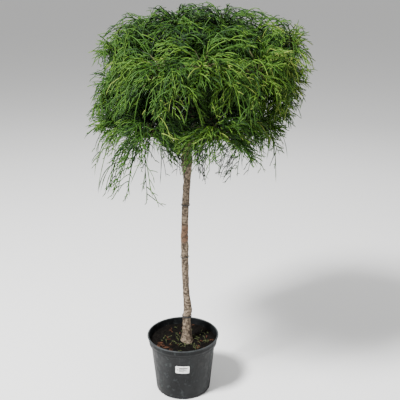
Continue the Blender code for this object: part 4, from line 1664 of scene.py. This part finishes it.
    def branch(self, parents: Cords, order: Order, index: int) -> Cords:
        """Side cords that leave their parents to the left and right in turn.

        Args:
            parents: The cords that carry them.
            order: How they grow.
            index: The mass that they belong to.

        Returns:
            The new cords that found room.
        """
        count, last = len(parents), parents.paths.shape[1] - 1
        rng, shape = self.rng, (len(parents), order.count)
        share = order.first + (order.last - order.first) * (
            np.arange(order.count) + rng.random(shape)
        ) / order.count
        spots = share * last
        low = np.minimum(spots.astype(int), last - 1)
        rows = np.arange(count)[:, None]
        step = parents.paths[rows, low + 1] - parents.paths[rows, low]
        starts = parents.paths[rows, low] + (spots - low)[..., None] * step
        parent_length = np.linalg.norm(np.diff(parents.paths, axis=1), axis=2).sum(axis=1)
        along = step / np.maximum(np.linalg.norm(step, axis=2), TINY)[..., None]
        hand = np.where((np.arange(order.count) + rng.integers(0, 2, (count, 1))) % 2, 1, -1)
        turn = hand * np.radians(rng.uniform(order.least_turn, order.most_turn, shape))
        azimuth = np.arctan2(along[..., 1], along[..., 0]) + turn
        flat = np.hypot(along[..., 0], along[..., 1])
        level = flat + self.levelled * np.abs(along[..., 2])
        rise = self.rise_kept * along[..., 2] + order.lift * rng.uniform(*self.branch_lifts, shape)
        headings = np.stack([level * np.cos(azimuth), level * np.sin(azimuth), rise], axis=-1)
        lengths = parent_length[:, None] * (order.length - order.shorten * share)
        lengths = lengths * rng.uniform(*self.branch_lengths, shape)
        droops = MASSES[index].droop * rng.uniform(*self.branch_droops, shape)
        bends = rng.normal(0, self.branch_bend, shape)
        paths = self.droop(
            starts.reshape(-1, 3),
            headings.reshape(-1, 3),
            lengths.ravel(),
            droops.ravel(),
            bends.ravel(),
            order.steps,
        )
        radius = order.radius * rng.uniform(*self.branch_radii, len(paths))
        return self.trimmed(Cords(paths, radius, np.repeat(parents.spray, order.count)), index)

    def tones(self, cords: Cords, order: int) -> np.ndarray:
        """How light each cord is: a sum of its spray's tone, its own, and how far out and up it ends, the
        last two painting shade deep in the head and light on its outside and top.

        Args:
            cords: The cords.
            order: 0 for leaders, 1 for side cords and 2 for twiglets.

        Returns:
            A tone for each cord, from about 0 for dark to 1 for light.
        """
        own = np.random.default_rng(self.seed + 1).random(len(MASSES) * self.leaders)[cords.spray]
        ends = cords.paths[:, -1]
        # Painted shade and light: cords ending deep in the head get darker tints, cords near its outline and
        # top lighter ones
        out = np.clip(self.crown.out(ends), 0, 1) ** self.inner_shade_power
        high = np.clip((ends[:, 2] - self.top_light_foot) / self.top_light_height, 0, 1)
        right = np.clip((ends[:, 0] - self.tone_left) / self.tone_width, 0, 1)
        any_one = self.rng.random(len(cords))
        causes = (own, any_one, out, high, right, order)
        return sum(share * cause for share, cause in zip(self.tone_shares, causes))

    def build(self, twig_finish: Bark) -> None:
        """Grows all masses, deals the cords out by tone, and joins each tone's in pieces.

        Args:
            twig_finish: Bark of the woody twigs.
        """
        grown: list[tuple[Cords, int]] = []
        stalks: list[np.ndarray] = []
        for index in range(len(MASSES)):
            leaders = self.grow_leaders(index)
            sides = self.branch(leaders, self.sides, index)
            twiglets = self.branch(sides, self.twiglets, index)
            stalks.append(leaders.paths[:, : self.leader_steps // 2 + 1])
            grown += [(leaders, 0), (sides, 1), (twiglets, 2)]
        low = -math.inf
        nodes = tuple("foliage_" + mass.name for mass in MASSES)
        for tint, high in zip(Tint, self.limits):
            self.rng = np.random.default_rng(self.seed + 2)
            parts = []
            for cords, order in grown:
                tone = self.tones(cords, order)
                chosen = cords.kept((tone >= low) & (tone < high))
                if len(chosen):
                    parts.append(cord_skin(chosen, self.tooth))
            low = high
            self.join(parts, tint, nodes if tint is Tint.GREEN else ())
        self.build_twigs(np.concatenate(stalks), twig_finish)

    def join(self, parts: list[Skin], tint: Tint, nodes: tuple[str, ...]) -> None:
        """Joins cords of one tint into pieces that stay under the most triangles.

        Args:
            parts: The cords' meshes, one for each mass and order.
            tint: Their base colour.
            nodes: The solids' nodes that the first piece replaces.
        """
        material = Leaf("leaf_" + tint.name.lower(), tint.value).material()
        batch, size, number = [], 0, 1
        for part in [*parts, None]:
            count = 0 if part is None else sum(len(b) * (b.shape[1] - 2) for b in part[1])
            if batch and (part is None or size + count > MOST_TRIANGLES):
                name = f"foliage_{tint.name.lower()}_{number}"
                piece = make_mesh(name, *merged(batch))
                finish_piece(piece, material, nodes)
                nodes = ()
                batch, size, number = [], 0, number + 1
            if part is not None:
                batch.append(part)
                size += count

    def build_twigs(self, paths: np.ndarray, finish: Bark) -> None:
        """The woody first half of each leader, a little thicker than the cord round it."""
        piece = make_mesh("twigs", *cord_skin(Cords.even(paths, self.twig_radius), self.twig_tooth))
        finish_piece(piece, finish.material())


@dataclass
class Boughs:
    """One limb from the stem into each mass, flared where it leaves the stem."""

    crown: Crown
    trunk: Trunk
    base: float = 0.0062
    tip: float = 0.0036
    end: float = 0.0024
    flare: float = 0.75
    flare_reach: float = 0.016
    bend_reach: float = 0.42
    bend_rise: float = 0.62
    wobble: float = 0.006
    wobble_waves: float = 9
    wobble_seed: int = 31
    tip_from: float = 0.8
    rough: float = 0.14
    rough_seed: int = 40
    steps: int = 70
    sides: int = 16

    def path(self, index: int) -> np.ndarray:
        """A quadratic curve out and up from the stem to the mass's middle, with a sideways wobble.

        Args:
            index: The mass that the limb carries.

        Returns:
            Points along the limb's middle line.
        """
        mass = MASSES[index]
        azimuth = math.radians(mass.azimuth)
        lean, radius = self.trunk.section(np.array([mass.foot]))
        outward = np.array((math.cos(azimuth), math.sin(azimuth), 0.0))
        start = np.array((float(lean[0]), 0.0, mass.foot)) + outward * (float(radius[0]) - self.base)
        middle = self.crown.middles[index]
        rise = self.bend_rise * (middle[2] - mass.foot)
        bend = start + outward * self.bend_reach * mass.reach + UP * rise
        t = np.linspace(0, 1, self.steps)[:, None]
        path = start * (1 - t) ** 2 + bend * 2 * t * (1 - t) + middle * t**2
        places = np.column_stack([t * self.wobble_waves, t * 0 + index, t * 0])
        sway = lattice_noise(places, self.wobble_seed)[:, None] - 0.5
        return path + sway * self.wobble * np.sin(math.pi * t) * np.cross(outward, UP)

    def build(self, finish: Bark) -> None:
        """Sweeps a roughened round section along each path, flared by exp(-length / reach) at the stem.

        Args:
            finish: The limbs' bark.
        """
        parts = []
        for index in range(len(MASSES)):
            path = self.path(index)
            along = np.linspace(0, 1, self.steps)
            length = float(np.linalg.norm(np.diff(path, axis=0), axis=1).sum())
            radii = np.interp(along, (0, self.tip_from, 1), (self.base, self.tip, self.end))
            radii = radii * (1 + self.flare * np.exp(-along * length / self.flare_reach))
            parts.append(closed_tube(swept(path, radii, self.sides, self.rough_seed + index, self.rough)))
        piece = make_mesh("boughs", *merged(parts))
        nodes = tuple("bough_" + mass.name for mass in MASSES)
        finish_piece(piece, finish.material(), nodes)


@dataclass(frozen=True)
class Lamp:
    """A square soft light, aimed at the middle of the plant."""

    name: str
    place: tuple[float, float, float]
    power: float
    size: float
    aim: tuple[float, float, float] = (0.03, 0.0, 0.95)

    def build(self) -> None:
        """Places the light and turns its -Z axis to its aim."""
        light = bpy.data.lights.new(self.name, "AREA")
        light.energy = self.power
        light.size = self.size
        lamp = bpy.data.objects.new(self.name, light)
        bpy.context.scene.collection.objects.link(lamp)
        lamp.location = self.place
        aim = np.array(self.aim) - np.array(self.place)
        aim = aim / np.linalg.norm(aim)
        lamp.rotation_euler = (math.acos(-aim[2]), 0.0, math.atan2(aim[1], aim[0]) - math.pi / 2)


@dataclass
class Studio:
    """Pale floor and backdrop, soft lights, and the camera at the photograph's angle."""

    camera_place: tuple[float, float, float] = (0.067, -2.3, 1.528)
    camera_tilt: float = 17.96
    focal_pixels: float = 657.0
    image_width: float = 400.0
    sensor: float = 36.0
    floor_size: float = 400.0
    floor_drop: float = 0.0002
    floor_colour: Colour = (0.93, 0.93, 0.92)
    floor_rough: float = 0.9
    floor_sheen: float = 0.1
    sky_strength: float = 0.55
    lamps: tuple[Lamp, ...] = (
        Lamp("key", (-2.2, -2.0, 4.6), 760.0, 1.0),
        Lamp("fill", (3.0, -2.2, 2.2), 20.0, 2.5),
        Lamp("rim", (1.0, 3.0, 3.4), 50.0, 2.0),
    )

    def build_floor(self) -> None:
        """A wide flat floor."""
        half = self.floor_size / 2
        corners = np.array([(-half, -half, 0), (half, -half, 0), (half, half, 0), (-half, half, 0)])
        faces = [np.array([[0, 1, 2, 3]])]
        floor = make_mesh("floor", corners - UP * self.floor_drop, faces, smooth=False)
        bench = Bench("pale_floor")
        bench.set(Base_Color=(*self.floor_colour, 1.0), Roughness=self.floor_rough)
        bench.set(Specular_IOR_Level=self.floor_sheen)
        floor.data.materials.append(bench.material)

    def build_lights(self) -> None:
        """A soft key from the upper left front, a weak fill from the right, and a white sky."""
        for lamp in self.lamps:
            lamp.build()
        world = bpy.data.worlds.new("white_sky")
        world.use_nodes = True
        sky = world.node_tree.nodes["Background"]
        sky.inputs["Color"].default_value = (1.0, 1.0, 1.0, 1.0)
        sky.inputs["Strength"].default_value = self.sky_strength
        bpy.context.scene.world = world

    def build_camera(self) -> None:
        """The lens that makes the head and the pot as large as the photograph shows them."""
        data = bpy.data.cameras.new("camera")
        data.sensor_width = self.sensor
        data.lens = self.sensor * self.focal_pixels / self.image_width
        camera = bpy.data.objects.new("camera", data)
        bpy.context.scene.collection.objects.link(camera)
        camera.location = self.camera_place
        camera.rotation_euler = (math.radians(90 - self.camera_tilt), 0.0, 0.0)
        bpy.context.scene.camera = camera


def save_sizes() -> None:
    """Updates the view layer; nothing is written."""
    bpy.context.view_layer.update()


def main() -> None:
    """Builds the studio and then every sub-assembly of the plant."""
    logging.basicConfig(level=logging.INFO, format="%(message)s")
    studio = Studio()
    studio.build_camera()
    studio.build_lights()
    studio.build_floor()

    pot = Pot()
    pot.build(PotPlastic())
    ground = Ground(pot)
    ground.build_soil(POTTING_MIX)
    ground.build_crumbs(LOOSE_CRUMBS)
    ground.build_seedlings(SEEDLING_GREEN)
    ground.build_chips(BARK_CHIPS)
    Label(pot).build(PLATE_WHITE, BAR_BLACK)

    trunk = Trunk()
    trunk.build(STEM_BARK)
    Ties(trunk).build(BAND_RUBBER)

    crown = Crown()
    Boughs(crown, trunk).build(LIMB_BARK)
    Head(crown, trunk).build(LIMB_BARK)
    save_sizes()


if __name__ == "__main__":
    main()
